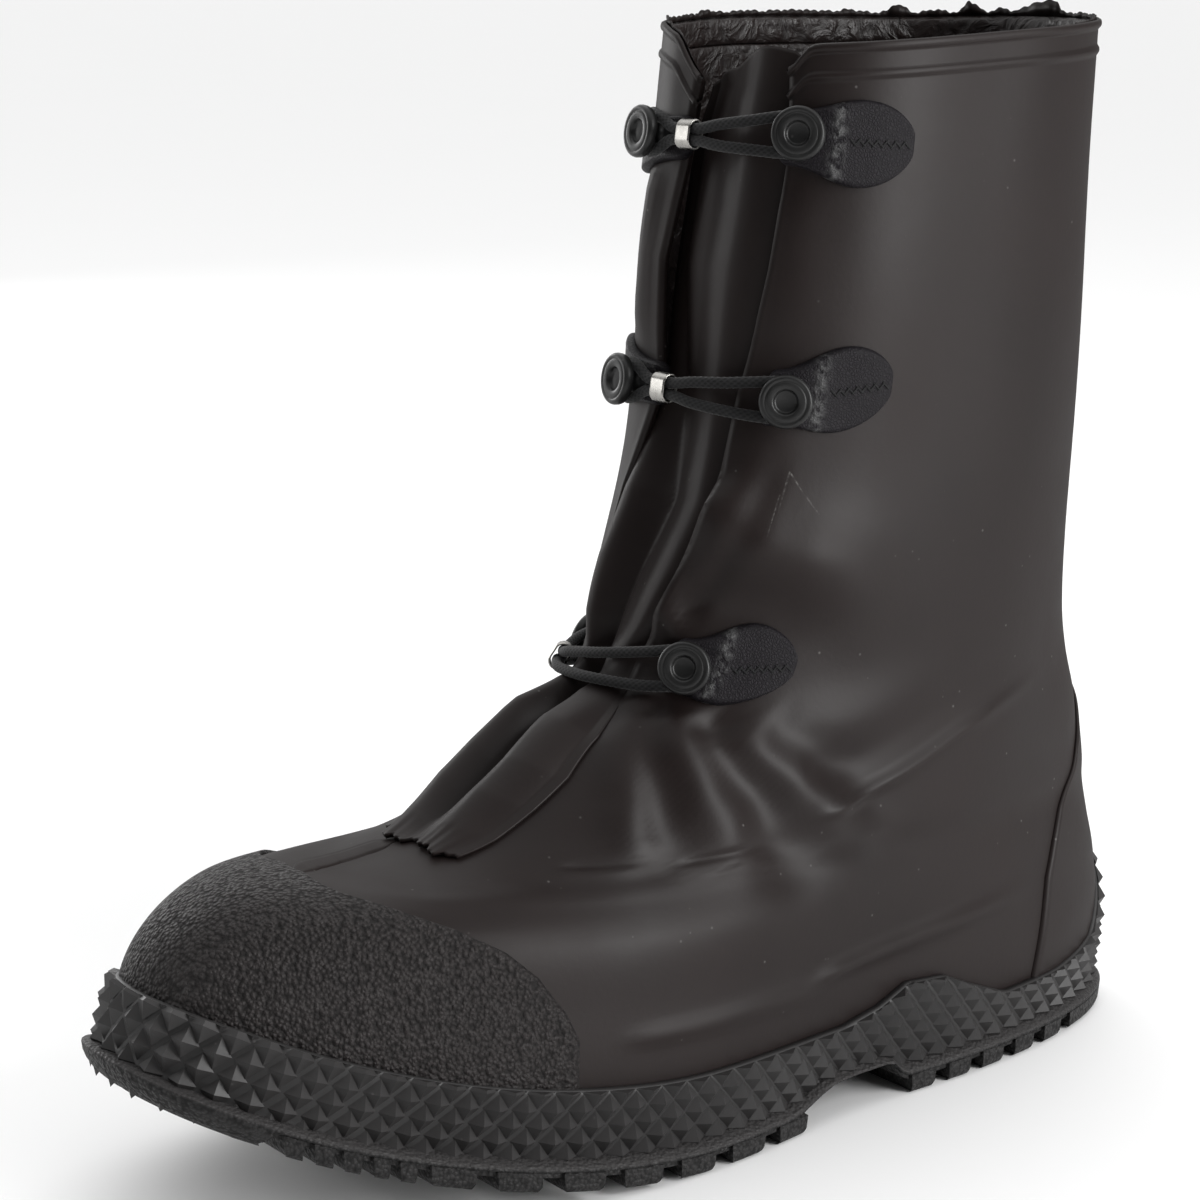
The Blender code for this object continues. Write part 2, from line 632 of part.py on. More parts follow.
def button_mesh():
    """Half profile of a button, turned by a Screw modifier: dished head, neck and foot."""
    head_low = NECK_HEIGHT
    head_top = NECK_HEIGHT + HEAD_HEIGHT
    profile = [
        (0.0, head_top - DISH_DEPTH),
        (DISH_RADIUS, head_top - DISH_DEPTH),
        (DISH_RADIUS + BUTTON_EDGE, head_top),
        (HEAD_RADIUS - BUTTON_EDGE, head_top),
        (HEAD_RADIUS, head_top - BUTTON_EDGE),
        (HEAD_RADIUS, head_low + BUTTON_EDGE),
        (HEAD_RADIUS - BUTTON_EDGE, head_low),
        (NECK_RADIUS, head_low),
        (NECK_RADIUS, 0.0),
        (0.0, 0.0),
    ]
    mesh = bpy.data.meshes.new("button")
    points = [(radius * MM, 0.0, height * MM) for radius, height in profile]
    mesh.from_pydata(points, [(i, i + 1) for i in range(len(points) - 1)], [])
    return mesh


def seat_frame(level, angle, out):
    """Frame on the upper's face: X backwards around the loop, Z along the outward normal."""
    normal = Vector(upper_normal(angle, level))
    point = Vector(shell_point(np.array(angle), np.array(level), np.array(out)))
    up = Vector((0.0, 0.0, 1.0))
    right = up.cross(normal).normalized()
    frame = Matrix((right, normal.cross(right), normal)).transposed().to_4x4()
    frame.translation = point * MM
    return frame


def make_button(name, mesh, level, angle, group):
    """Button that stands on its tab."""
    piece = add_piece(name, mesh.copy(), BUTTON_PLASTIC, group)
    piece.matrix_world = seat_frame(level, angle, TAB_GAP + GAP + TAB_THICKNESS)
    turn = piece.modifiers.new("turn", "SCREW")
    turn.axis = "Z"
    turn.steps = BUTTON_SIDES
    turn.render_steps = BUTTON_SIDES
    turn.use_merge_vertices = True
    turn.merge_threshold = 0.00001


def strand_frame(closure, share):
    """Frame midway between the strands at a share of the way: X along the loop, Z out of the boot."""
    angle = math.radians(closure.near_angle + (closure.far_angle - closure.near_angle) * share)
    level = closure.near_level + (closure.far_level - closure.near_level) * share
    lift = closure.bow * (1 - abs(2 * share - 1) ** BOW_POWER)
    return seat_frame(level, angle, TAB_GAP + GAP + TAB_THICKNESS + NECK_HEIGHT / 2 + lift)


def neck_wrap(frame, away):
    """Half turn around a button's neck, from the upper strand to the lower one."""
    bend = NECK_RADIUS + GAP + CORD_DIAMETER / 2
    angles = np.linspace(math.pi / 2, -math.pi / 2, WRAP_STEPS)
    return [frame @ (Vector((away * math.cos(a), math.sin(a), 0.0)) * bend * MM) for a in angles]


def loop_stations(closure):
    """Share of the way and spread of the strands at each station between the two necks."""
    length = (strand_frame(closure, 0.0).translation - strand_frame(closure, 1.0).translation).length / MM
    half = FERRULE_LENGTH / 2 / length
    first, last = closure.ferrule - half, closure.ferrule + half
    stations = [Strand(strand.share * first, strand.spread) for strand in STRANDS]
    stations += [Strand(share, 0.0) for share in (first, closure.ferrule, last)]
    stations.append(Strand(last + (1 - last) * FAN.share, FAN.spread))
    return stations


def make_loop(closure, group):
    """Elastic loop: around both button necks, with its two strands pinched at the ferrule."""
    bend = NECK_RADIUS + GAP + CORD_DIAMETER / 2
    pinch = CORD_DIAMETER / 2 + GAP / 2
    upper = []
    lower = []
    for station in loop_stations(closure):
        frame = strand_frame(closure, station.share)
        half = (pinch + (bend - pinch) * station.spread) * MM
        upper.append(frame @ Vector((0.0, half, 0.0)))
        lower.append(frame @ Vector((0.0, -half, 0.0)))
    near_wrap = neck_wrap(strand_frame(closure, 0.0), 1)
    far_wrap = neck_wrap(strand_frame(closure, 1.0), -1)
    route = near_wrap + lower + far_wrap[::-1] + upper[::-1]
    name = "loop_" + closure.name
    data = bpy.data.curves.new(name, "CURVE")
    data.dimensions = "3D"
    data.bevel_depth = CORD_DIAMETER / 2 * MM
    data.bevel_resolution = 2
    spline = data.splines.new("POLY")
    spline.points.add(len(route) - 1)
    for point, place in zip(spline.points, route):
        point.co = (*place, 1.0)
    spline.use_cyclic_u = True
    add_piece(name, data, ELASTIC, group)


def make_ferrule(closure, group):
    """Metal sleeve that pinches the two strands of a loop."""
    first, middle, last = (station.share for station in loop_stations(closure) if station.spread == 0)
    run = (strand_frame(closure, last).translation - strand_frame(closure, first).translation).normalized()
    seat = strand_frame(closure, middle)
    up = seat.col[1].to_3d()
    up = (up - up.dot(run) * run).normalized()
    frame = Matrix((up, run.cross(up), run)).transposed().to_4x4()
    frame.translation = seat.translation
    name = "ferrule_" + closure.name
    shape = bpy.data.curves.new(name, "CURVE")
    shape.dimensions = "2D"
    shape.fill_mode = "BOTH"
    shape.extrude = FERRULE_LENGTH / 2 * MM
    half_long = CORD_DIAMETER + FERRULE_CLEARANCE
    half_short = CORD_DIAMETER / 2 + FERRULE_CLEARANCE
    for grow in (FERRULE_WALL, 0.0):
        add_stadium(shape, half_long + grow, half_short + grow)
    piece = add_piece(name, shape, STEEL, group)
    piece.matrix_world = frame


def add_stadium(shape, half_long, half_short):
    """Closed outline with straight sides and round ends."""
    straight = half_long - half_short
    outline = []
    for side in (1, -1):
        for a in np.linspace(-math.pi / 2, math.pi / 2, STADIUM_STEPS):
            outline.append((side * (straight + half_short * math.cos(a)), side * half_short * math.sin(a)))
    spline = shape.splines.new("POLY")
    spline.points.add(len(outline) - 1)
    for point, (x, y) in zip(spline.points, outline):
        point.co = (x * MM, y * MM, 0.0, 1.0)
    spline.use_cyclic_u = True


def make_closures(group):
    """Tabs, buttons, loop and ferrule of each closure."""
    button = button_mesh()
    for closure in CLOSURES:
        for place, side in (("near", 1), ("far", -1)):
            level = getattr(closure, place + "_level")
            angle = math.radians(getattr(closure, place + "_angle"))
            make_tab(f"tab_{place}_{closure.name}", level, angle, side, closure.droop, group)
            make_button(f"button_{place}_{closure.name}", button, level, angle, group)
        make_loop(closure, group)
        make_ferrule(closure, group)
    bpy.data.meshes.remove(button)


def stand_on_origin(group, cutter_group):
    """Parent everything to an empty that puts the middle of the boot's box over the origin."""
    bpy.context.view_layer.update()
    depsgraph = bpy.context.evaluated_depsgraph_get()
    points = []
    for piece in group.objects:
        seen = piece.evaluated_get(depsgraph)
        points.extend(seen.matrix_world @ vertex.co for vertex in seen.to_mesh().vertices)
        seen.to_mesh_clear()
    points = np.array(points)
    low, high = points.min(axis=0), points.max(axis=0)
    origin = bpy.data.objects.new("boot_origin", None)
    for piece in list(group.objects) + list(cutter_group.objects):
        piece.parent = origin
    group.objects.link(origin)
    origin.location = (-(low[0] + high[0]) / 2, -(low[1] + high[1]) / 2, -low[2])
    bpy.context.view_layer.update()


def main():
    for piece in list(bpy.data.objects):
        bpy.data.objects.remove(piece, do_unlink=True)
    parts = collection("rubber_overboot")
    cutters = collection("cutters")
    make_outsole(parts, cutters)
    make_upper(parts)
    make_foxing(parts)
    make_toe_cap(parts)
    make_heel_counter(parts)
    make_gusset(parts)
    make_closures(parts)
    stand_on_origin(parts, cutters)


main()
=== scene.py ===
"""Looks of a left rubber overboot: satin rubber with folds, knurled foxing, buttons and elastic loops.

Shapes are worked out in millimetres on the same section table as the frame, with the toe towards
-Y, the outer side towards +X and the floor at z = 0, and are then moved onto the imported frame.
"""

import math
from collections import namedtuple
from contextlib import contextmanager

import bmesh
import bpy
import numpy as np
from mathutils import Matrix, Vector


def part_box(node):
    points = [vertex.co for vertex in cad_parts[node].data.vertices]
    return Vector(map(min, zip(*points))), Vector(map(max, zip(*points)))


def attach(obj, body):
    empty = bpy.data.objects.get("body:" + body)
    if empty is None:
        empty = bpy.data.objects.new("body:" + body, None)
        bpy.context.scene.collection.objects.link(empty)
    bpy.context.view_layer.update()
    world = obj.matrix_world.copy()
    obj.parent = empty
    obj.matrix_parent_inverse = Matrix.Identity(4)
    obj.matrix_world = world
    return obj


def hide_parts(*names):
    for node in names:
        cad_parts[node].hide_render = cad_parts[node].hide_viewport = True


bl_info = {
    "name": "Rubber overboot",
    "version": (1, 0, 0),
    "blender": (4, 5, 0),
    "location": "View3D > Sidebar > Overboot",
    "description": "Builds the finished pieces of a rubber overboot around its packed frame",
    "category": "Object",
}

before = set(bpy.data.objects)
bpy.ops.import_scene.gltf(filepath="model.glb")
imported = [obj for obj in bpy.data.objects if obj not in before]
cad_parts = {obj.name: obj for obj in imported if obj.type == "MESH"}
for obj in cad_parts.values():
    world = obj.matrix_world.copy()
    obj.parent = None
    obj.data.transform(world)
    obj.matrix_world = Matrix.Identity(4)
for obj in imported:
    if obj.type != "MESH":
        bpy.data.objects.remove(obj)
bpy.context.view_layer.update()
MM = 0.001
MERGE_DISTANCE = 1e-6

# Sole and section sizes, as in the frame
BOOT_LENGTH = 330.0
HEEL_Y = 165.0
TOE_SPRING = 40.0
SPRING_START = 0.54
SOLE_THICKNESS = 8.5
FEATHER_Z = 8.8
HEEL_FLANGE = 6.0
BALL_FLANGE = 7.2
TOE_FLANGE = 12.0
FLANGE_FROM, FLANGE_RUN = 0.3, 0.4
TOE_FROM, TOE_RUN = 0.78, 0.22
TOE_SWING = -4.0
INNER_ARCH_FACTOR = 2.2
WAIST_AT, WAIST_SPREAD = 0.40, 0.12
HEEL_AT, BALL_AT = 0.20, 0.65
SWING_FROM, SWING_LEVELS = 0.45, 6.0
COLUMN_SPREAD = 0.12
WALL = 2.2

# Small steps for directions on the face, search for a level, and points of a plan
ANGLE_STEP = 0.02
LEVEL_STEP = 0.02
SEARCH_LEVEL, SEARCH_STEPS = 5, 201
PLAN_POINTS = 720

# Slow waves of the rubber: pairs of sines, each with its direction, millimetres per radian and phase, then
# their height on the upper and the levels over which they fade in
Sine = namedtuple("Sine", "toward length phase")
WAVES = (
    (Sine((1, 0, 0), 11.0, 0.6), Sine((0, 0, 1), 19.0, 1.1)),
    (Sine((0, 1, 0), 15.0, 2.0), Sine((0, 0, 1), 13.0, 0.3)),
    (Sine((1, 1, 0), 9.0, 0.0), Sine((0, 1, -1), 23.0, 0.8)),
)
UPPER_WAVES, WAVE_LEVELS = 0.35, 2


def sole_lift(y):
    """Height of the sole line above the floor: flat at heel and ball, then the toe spring."""
    share = (HEEL_Y - np.asarray(y, float)) / BOOT_LENGTH
    return TOE_SPRING * np.clip((share - SPRING_START) / (1 - SPRING_START), 0, None) ** 2


# Section loops of the last from the feather line to the collar
Section = namedtuple("Section", "front_y front_z back_y back_z heel_half ball_half waist_dip "
                     "spring_share front_round back_round")
FEATHER_FRONT_Y = -154.5
SECTIONS = [
    Section(FEATHER_FRONT_Y, FEATHER_Z + float(sole_lift(FEATHER_FRONT_Y)), 164.5, FEATHER_Z,
            45.5, 53.0, 4.5, 1.0, 2.35, 2.6),
    Section(-155.5, 62.0, 167.5, 32.0, 46.5, 55.0, 2.5, 1.0, 2.35, 2.6),
    Section(-147.5, 76.0, 167.0, 48.0, 46.0, 54.0, 2.0, 0.9, 2.35, 2.5),
    Section(-132.5, 84.5, 164.5, 60.0, 45.5, 53.0, 1.5, 0.7, 2.35, 2.4),
    Section(-114.5, 86.0, 163.0, 70.0, 44.5, 49.0, 1.0, 0.5, 2.25, 2.3),
    Section(-94.5, 84.5, 162.0, 78.0, 44.5, 46.5, 0.0, 0.2, 2.2, 2.3),
    Section(-75.0, 88.0, 160.0, 88.0, 44.0, 45.5, 0.0, 0.0, 2.2, 2.3),
    Section(-56.0, 97.0, 157.5, 100.0, 43.5, 44.5, 0.0, 0.0, 2.2, 2.3),
    Section(-36.0, 109.0, 152.5, 114.0, 43.5, 44.0, 0.0, 0.0, 2.2, 2.3),
    Section(-13.0, 122.0, 147.5, 130.0, 44.0, 43.0, 0.0, 0.0, 2.4, 2.4),
    Section(-4.0, 147.0, 145.5, 152.0, 45.0, 44.0, 0.0, 0.0, 2.6, 2.5),
    Section(9.0, 185.0, 145.5, 190.0, 46.0, 44.5, 0.0, 0.0, 2.8, 2.6),
    Section(17.0, 240.0, 146.0, 244.0, 47.0, 46.0, 0.0, 0.0, 3.0, 2.6),
    Section(25.0, 293.0, 147.0, 299.0, 47.5, 46.5, 0.0, 0.0, 3.0, 2.6),
]
COLLAR = len(SECTIONS) - 1

# Edges of the front slit: section level, then loop angles in degrees
Edge = namedtuple("Edge", "level near far")
THROAT = [
    Edge(6.6, 6.0, -8.0), Edge(7.5, 9.0, -12.0), Edge(8.6, 8.0, -14.0), Edge(9.3, 8.0, -15.0),
    Edge(10.0, 13.5, -16.0), Edge(10.7, 19.0, -12.5), Edge(11.3, 19.0, -3.0), Edge(11.9, 23.0, -6.0),
    Edge(12.4, 24.0, -3.0), Edge(13.0, 20.5, -2.0),
]

# Height of the foxing's top edge over the sole line, by loop angle
Crest = namedtuple("Crest", "angle height")
FOXING = [
    Crest(0.0, 28.0), Crest(25.0, 29.0), Crest(55.0, 28.0), Crest(80.0, 27.0), Crest(100.0, 26.5),
    Crest(105.0, 29.0), Crest(109.0, 33.5), Crest(115.0, 32.0), Crest(120.0, 26.5),
    Crest(127.0, 20.0), Crest(140.0, 20.0), Crest(155.0, 23.0), Crest(165.0, 36.0),
    Crest(172.0, 45.0), Crest(180.0, 48.0),
]

# Edge of the toe cap and of the heel counter: section level and loop angle
Outline = namedtuple("Outline", "level angle")
TOE_CAP = [
    Outline(0.9, 66.5), Outline(1.6, 65.5), Outline(2.0, 63.0), Outline(2.5, 58.0),
    Outline(2.9, 52.0), Outline(3.25, 44.0), Outline(3.6, 32.0), Outline(3.9, 17.0),
    Outline(4.2, 4.0),
]
HEEL_COUNTER = [
    Outline(0.3, 133.5), Outline(2.1, 136.0), Outline(3.7, 141.5), Outline(5.5, 151.0),
    Outline(6.6, 161.0), Outline(7.4, 174.0),
]

# Closures, top to bottom, as in the frame but with the loops drawn closer to the face
Closure = namedtuple("Closure", "name near_level near_angle far_level far_angle droop bow ferrule")
CLOSURES = [
    Closure("top", 12.49, 28.8, 12.46, -8.5, 4.0, 1.6, 0.76),
    Closure("middle", 11.30, 33.8, 11.31, -8.0, -2.0, 1.6, 0.78),
    Closure("low", 9.32, 26.0, 8.70, -58.0, 2.0, -1.3, 0.64),
]
TAB_SEAT = 1.05
TAB_THICKNESS = 2.0
GAP = 0.3
CORD_DIAMETER = 3.0
NECK_RADIUS = 3.2
NECK_HEIGHT = 4.8
HEAD_HEIGHT = 3.4
FERRULE_LENGTH = 6.0
TAB_LENGTH = 36.0
TAB_FRONT = 6.0
TAB_HALF_FRONT = 7.5
TAB_HALF_BACK = 11.5

# Folds of the upper: height out of the face (negative is a trough), half width at the far end, and
# the way of the fold from its narrow end as loop angles and levels
Fold = namedtuple("Fold", "height width way")
FOLDS = [
    Fold(2.2, 9.0, ((12.0, 9.10), (21.5, 8.55), (30.4, 8.01), (42.4, 7.07), (53.8, 5.81), (61.8, 4.69))),
    Fold(-1.7, 8.5, ((16.0, 8.95), (28.8, 8.38), (43.4, 7.44), (56.6, 6.02), (73.6, 3.36))),
    Fold(2.6, 11.0, ((22.0, 8.90), (40.4, 8.16), (53.0, 7.34), (64.2, 6.38), (75.4, 5.01), (84.2, 3.23))),
    Fold(-2.1, 10.5, ((36.0, 8.70), (52.0, 8.07), (67.4, 6.81), (86.2, 4.11), (95.6, 2.22))),
    Fold(2.3, 9.5, ((47.0, 8.42), (62.4, 7.63), (72.0, 7.07), (82.2, 6.30), (96.4, 4.45), (104.0, 3.3))),
    Fold(-1.2, 10.5, ((56.0, 8.40), (73.0, 7.64), (83.6, 6.94), (95.6, 5.56), (108.0, 4.1))),
    Fold(-0.7, 1.5, ((43.0, 5.50), (47.0, 5.46), (53.6, 5.40), (61.0, 5.44))),
    Fold(0.35, 3.5, ((43.0, 5.20), (53.6, 5.10), (61.0, 5.16))),
    Fold(-0.7, 1.6, ((64.5, 5.14), (67.8, 5.16), (72.4, 5.21), (80.0, 5.42))),
    Fold(0.35, 4.0, ((64.5, 4.85), (72.4, 4.90), (80.0, 5.10))),
    Fold(1.5, 2.6, ((82.0, 5.86), (91.6, 6.42), (98.6, 6.85), (105.8, 7.27), (115.5, 7.6), (134.0, 8.05))),
    Fold(-1.1, 9.0, ((74.0, 6.90), (88.0, 7.40), (104.0, 8.10), (126.0, 8.60))),
    Fold(1.7, 3.4, ((94.0, 1.68), (104.6, 1.81), (118.0, 1.92), (136.0, 2.05))),
    Fold(1.0, 3.5, ((70.0, 1.57), (87.4, 1.58), (103.0, 1.44))),
    Fold(-2.8, 12.0, ((14.0, 9.95), (40.8, 9.90), (70.0, 9.75))),
    Fold(4.4, 15.0, ((14.0, 10.78), (26.0, 10.56), (40.0, 10.36), (58.0, 10.2), (84.0, 9.95))),
    Fold(3.8, 15.0, ((10.0, 9.62), (17.0, 9.98), (24.0, 10.46), (26.5, 10.91), (26.0, 11.3), (26.0, 11.6))),
    Fold(-1.5, 4.5, ((18.0, 9.75), (23.5, 10.0), (29.5, 10.42), (33.0, 10.80), (34.0, 11.15))),
    Fold(1.0, 10.0, ((29.0, 12.30), (29.5, 12.0), (30.0, 11.7), (31.0, 11.45))),
    Fold(2.6, 7.0, ((-13.0, 12.35), (-15.0, 12.0), (-14.0, 11.65), (-9.0, 11.35))),
    Fold(-1.6, 6.0, ((-26.0, 12.3), (-30.0, 11.9), (-26.0, 11.5))),
    Fold(2.4, 10.0, ((-40.0, 8.20), (-55.0, 7.20), (-70.0, 6.00))),
    Fold(-2.0, 8.0, ((-52.0, 8.40), (-70.0, 7.20), (-88.0, 5.60))),
    Fold(2.0, 8.0, ((-68.0, 8.40), (-85.0, 7.30), (-100.0, 6.30))),
    Fold(-1.8, 10.0, ((-96.0, 7.70), (-112.0, 8.30), (-130.0, 8.60))),
    Fold(1.5, 8.0, ((-100.0, 6.90), (-118.0, 7.50), (-138.0, 7.90))),
]
FOLD_SAMPLES = 24
FOLD_START = 0.12
FOLD_TAPER = 0.38
FOLD_NARROW = 0.6

# Light scratches of the upper: half width, and loop angles and levels of both ends
Scratch = namedtuple("Scratch", "width start end")
SCRATCHES = [
    Scratch(0.35, (38.8, 10.90), (37.9, 10.50)),
    Scratch(0.30, (39.4, 10.89), (45.4, 10.74)),
    Scratch(0.30, (45.4, 10.74), (50.2, 10.62)),
    Scratch(0.25, (37.4, 10.76), (36.6, 10.44)),
]

# Colour of scuffs on the upper, how much paler specks are on other pieces, and how much paler the sole's
# ledge is painted as a painted highlight
SCUFF_COLOUR = (0.13, 0.125, 0.12, 1.0)
SPECK_TONE, LEDGE_HIGHLIGHT_TONE = 8.0, 2.6

# Gusset: level, edges in degrees, height of the far edge, then place (-1 far to 1 near) and height
# of the first ridge, the valley and the second ridge, and height of the near edge
Pleat = namedtuple("Pleat", "level near far far_out ridge_at ridge_out valley_at valley_out "
                   "second_at second_out near_out")
PLEATS = [
    Pleat(5.85, 19.0, -20.0, 1.0, -0.45, 1.9, -0.02, 1.1, 0.45, 1.9, 1.0),
    Pleat(6.3, 21.5, -22.0, 1.1, -0.48, 4.0, -0.05, 0.9, 0.38, 4.0, 1.1),
    Pleat(6.9, 22.5, -24.0, 1.2, -0.48, 6.0, -0.06, -1.2, 0.34, 5.8, 1.2),
    Pleat(7.5, 22.5, -25.0, 1.2, -0.48, 6.8, -0.08, -2.6, 0.32, 6.4, 1.2),
    Pleat(8.2, 18.5, -26.0, 1.2, -0.48, 6.8, -0.12, -3.4, 0.30, 6.0, 1.1),
    Pleat(8.75, 12.0, -22.0, 1.0, -0.5, 3.8, -0.12, -3.6, 0.32, 3.4, 0.9),
    Pleat(9.1, 8.4, -16.0, 0.5, -0.5, 1.7, -0.1, -3.4, 0.4, 1.5, 0.4),
    Pleat(9.32, 8.6, -15.6, 0.0, -0.5, 2.2, -0.1, -3.2, 0.4, 1.6, 0.2),
    Pleat(9.7, 15.0, -21.0, -3.6, -0.42, 3.4, 0.0, -3.4, 0.5, 1.0, -3.4),
    Pleat(10.2, 21.0, -23.0, -4.6, -0.42, 3.0, 0.0, -4.6, 0.5, 0.2, -4.2),
    Pleat(10.7, 26.0, -20.0, -5.4, -0.46, 1.8, -0.1, -5.6, 0.42, -0.4, -4.6),
    Pleat(11.3, 26.5, -12.0, -7.0, -0.68, -4.0, -0.42, -6.6, 0.2, -0.2, -4.6),
    Pleat(11.9, 31.0, -15.0, -9.0, -0.84, -8.4, -0.62, -8.4, 0.08, -0.4, -4.4),
    Pleat(12.4, 32.0, -13.0, -9.6, -0.84, -8.6, -0.64, -8.4, 0.05, -0.4, -4.2),
    Pleat(13.0, 29.0, -12.0, -9.6, -0.84, -8.4, -0.64, -7.6, 0.05, -0.4, -3.8),
]
GUSSET_WALL = 1.4

# Tread: first edge, length and pitch of the lugs, how many, and which way along the foot
Tread = namedtuple("Tread", "start length pitch count direction")
FOREFOOT = Tread(18.0, 13.0, 18.0, 7, -1)
TOE_BARS = Tread(-105.5, 5.4, 7.0, 5, -1)
TOE_BLOCK = Tread(-140.5, 40.0, 40.0, 1, -1)
HEEL = Tread(60.0, 10.0, 14.5, 6, 1)

# Half width of the channel between the lugs, then heights and recess of the plate, its arch and the lugs
CHANNEL_HALF = 7.0
PLATE_LOW = 4.0
PLATE_RECESS = 1.3
ARCH_LOW = 7.0
ARCH_RISE = 4.5
LUG_TOP = 6.6

# Camera of the picture, in the frame of the section table
CAMERA_AZIMUTH = 52.3
CAMERA_DISTANCE = 800.0
CAMERA_HEIGHT = 318.0
CAMERA_YAW = 53.1
CAMERA_PITCH = 12.34
FOCAL_PIXELS = 2986.0
FRAME_PIXELS = 1200.0
SENSOR = 36.0

# Clipping of the camera and half width of the floor, in metres
CAMERA_CLIP = (0.01, 100.0)
FLOOR_HALF = 60.0


def smooth(t):
    """Smooth step from 0 to 1."""
    t = np.clip(t, 0, 1)
    return t * t * (3 - 2 * t)


def normalised(vectors):
    """Vectors at length one."""
    return vectors / np.linalg.norm(vectors, axis=-1, keepdims=True)


def foot_share(angle):
    """Share of the way from heel to toe at a loop angle."""
    return (1 + np.cos(angle)) / 2


def lengths_along(points, axis=0):
    """Length of a path up to each of its points."""
    steps = np.linalg.norm(np.diff(points, axis=axis), axis=-1)
    start = np.zeros_like(np.take(steps, [0], axis=axis))
    return np.concatenate([start, np.cumsum(steps, axis=axis)], axis=axis)


def section_at(level):
    """Section sizes at any level, on a smooth curve through the rows of the table."""
    table = np.array(SECTIONS, float)
    level = np.clip(np.asarray(level, float), 0, COLLAR)
    row = np.minimum(level.astype(int), COLLAR - 1)
    t = (level - row)[..., None]
    start, end = table[row], table[row + 1]
    slope_start = (end - table[np.maximum(row - 1, 0)]) / 2
    slope_end = (table[np.minimum(row + 2, COLLAR)] - start) / 2
    value = ((2 * t ** 3 - 3 * t ** 2 + 1) * start + (t ** 3 - 2 * t ** 2 + t) * slope_start
             + (3 * t ** 2 - 2 * t ** 3) * end + (t ** 3 - t ** 2) * slope_end)
    return Section(*np.moveaxis(value, -1, 0))


def upper_point(angle, level):
    """Outer face of the upper at a loop angle (0 at the front, positive outwards) and a level."""
    angle, level = np.broadcast_arrays(np.asarray(angle, float), np.asarray(level, float))
    s = section_at(level)
    along = foot_share(angle)
    y = s.back_y + (s.front_y - s.back_y) * along
    even_rise = s.front_z - s.back_z - s.spring_share * sole_lift(s.front_y)
    z = s.back_z + even_rise * along + s.spring_share * sole_lift(y)
    roundness = s.back_round + (s.front_round - s.back_round) * smooth(along)
    end_shape = np.clip(1 - np.abs(2 * along - 1) ** roundness, 0, 1) ** (1 / roundness)
    side = np.sign(np.sin(angle))
    dip = s.waist_dip * np.where(side < 0, INNER_ARCH_FACTOR, 1.0)
    half = s.heel_half + (s.ball_half - s.heel_half) * smooth((along - HEEL_AT) / (BALL_AT - HEEL_AT))
    half = half - dip * np.exp(-((along - WAIST_AT) / WAIST_SPREAD) ** 2)
    swing = TOE_SWING * np.clip(1 - level / SWING_LEVELS, 0, 1)
    x = side * half * end_shape + swing * smooth((along - SWING_FROM) / (1 - SWING_FROM))
    return np.stack([x, y, z], axis=-1)


def upper_normal(angle, level):
    """Outward normal of the upper's face."""
    angle, level = np.broadcast_arrays(np.asarray(angle, float), np.asarray(level, float))
    around = upper_point(angle + ANGLE_STEP, level) - upper_point(angle - ANGLE_STEP, level)
    top = np.minimum(level + LEVEL_STEP, COLLAR)
    bottom = np.maximum(level - LEVEL_STEP, 0)
    return normalised(np.cross(around, upper_point(angle, top) - upper_point(angle, bottom)))


def shell_point(angle, level, out):
    """Point at a distance out of the upper's face."""
    return upper_point(angle, level) + np.asarray(out, float)[..., None] * upper_normal(angle, level)


def level_at_height(angle, height):
    """Section level at which the upper reaches a height over the sole line, for each loop angle."""
    levels = np.linspace(0, SEARCH_LEVEL, SEARCH_STEPS)
    result = []
    for one_angle, one_height in zip(angle, np.broadcast_to(height, angle.shape)):
        points = upper_point(one_angle, levels)
        over_sole = points[:, 2] - sole_lift(points[:, 1])
        result.append(np.interp(one_height, over_sole, levels))
    return np.array(result)


def foxing_height(angle):
    """Height of the foxing's top edge over the sole line."""
    turned = np.abs((np.degrees(angle) + 180) % 360 - 180)
    return np.interp(turned, [c.angle for c in FOXING], [c.height for c in FOXING])


def column(rows, level, name):
    """One column of a level table, read at any level."""
    return np.interp(level, [r.level for r in rows], [getattr(r, name) for r in rows])


def sole_outline(angle, out):
    """Plan outline at a distance out of the feather line."""
    run = normalised((upper_point(angle + ANGLE_STEP, 0) - upper_point(angle - ANGLE_STEP, 0))[:, :2])
    outward = np.stack([run[:, 1], -run[:, 0]], axis=1)
    return upper_point(angle, 0)[:, :2] + np.asarray(out, float)[..., None] * outward


def flange(angle):
    """Width of the outsole outside the feather line."""
    along = foot_share(angle)
    side = HEEL_FLANGE + (BALL_FLANGE - HEEL_FLANGE) * smooth((along - FLANGE_FROM) / FLANGE_RUN)
    return side + (TOE_FLANGE - BALL_FLANGE) * smooth((along - TOE_FROM) / TOE_RUN)


def ring_angles(count):
    """Loop angles of a closed ring, spread more evenly along the foot."""
    even = np.linspace(0, 2 * math.pi, count, endpoint=False)
    return even + COLUMN_SPREAD * np.sin(2 * even)


def frame_shift():
    """Move from the section table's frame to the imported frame, in millimetres."""
    angle = ring_angles(PLAN_POINTS)
    plan = sole_outline(angle, flange(angle))
    low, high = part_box("outsole")
    middle = (plan.min(axis=0) + plan.max(axis=0)) / 2
    return np.array([(low.x + high.x) / 2 / MM - middle[0], (low.y + high.y) / 2 / MM - middle[1], 0.0])


SHIFT = frame_shift()


def placed(points):
    """Points of the section table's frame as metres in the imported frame."""
    return (np.asarray(points, float) + SHIFT) * MM


def wobble(points):
    """Slow uneven waves of moulded rubber, about one unit high."""
    height = 0
    for pair in WAVES:
        height = height + math.prod(np.sin(points @ s.toward / s.length + s.phase) for s in pair)
    return height / len(WAVES)


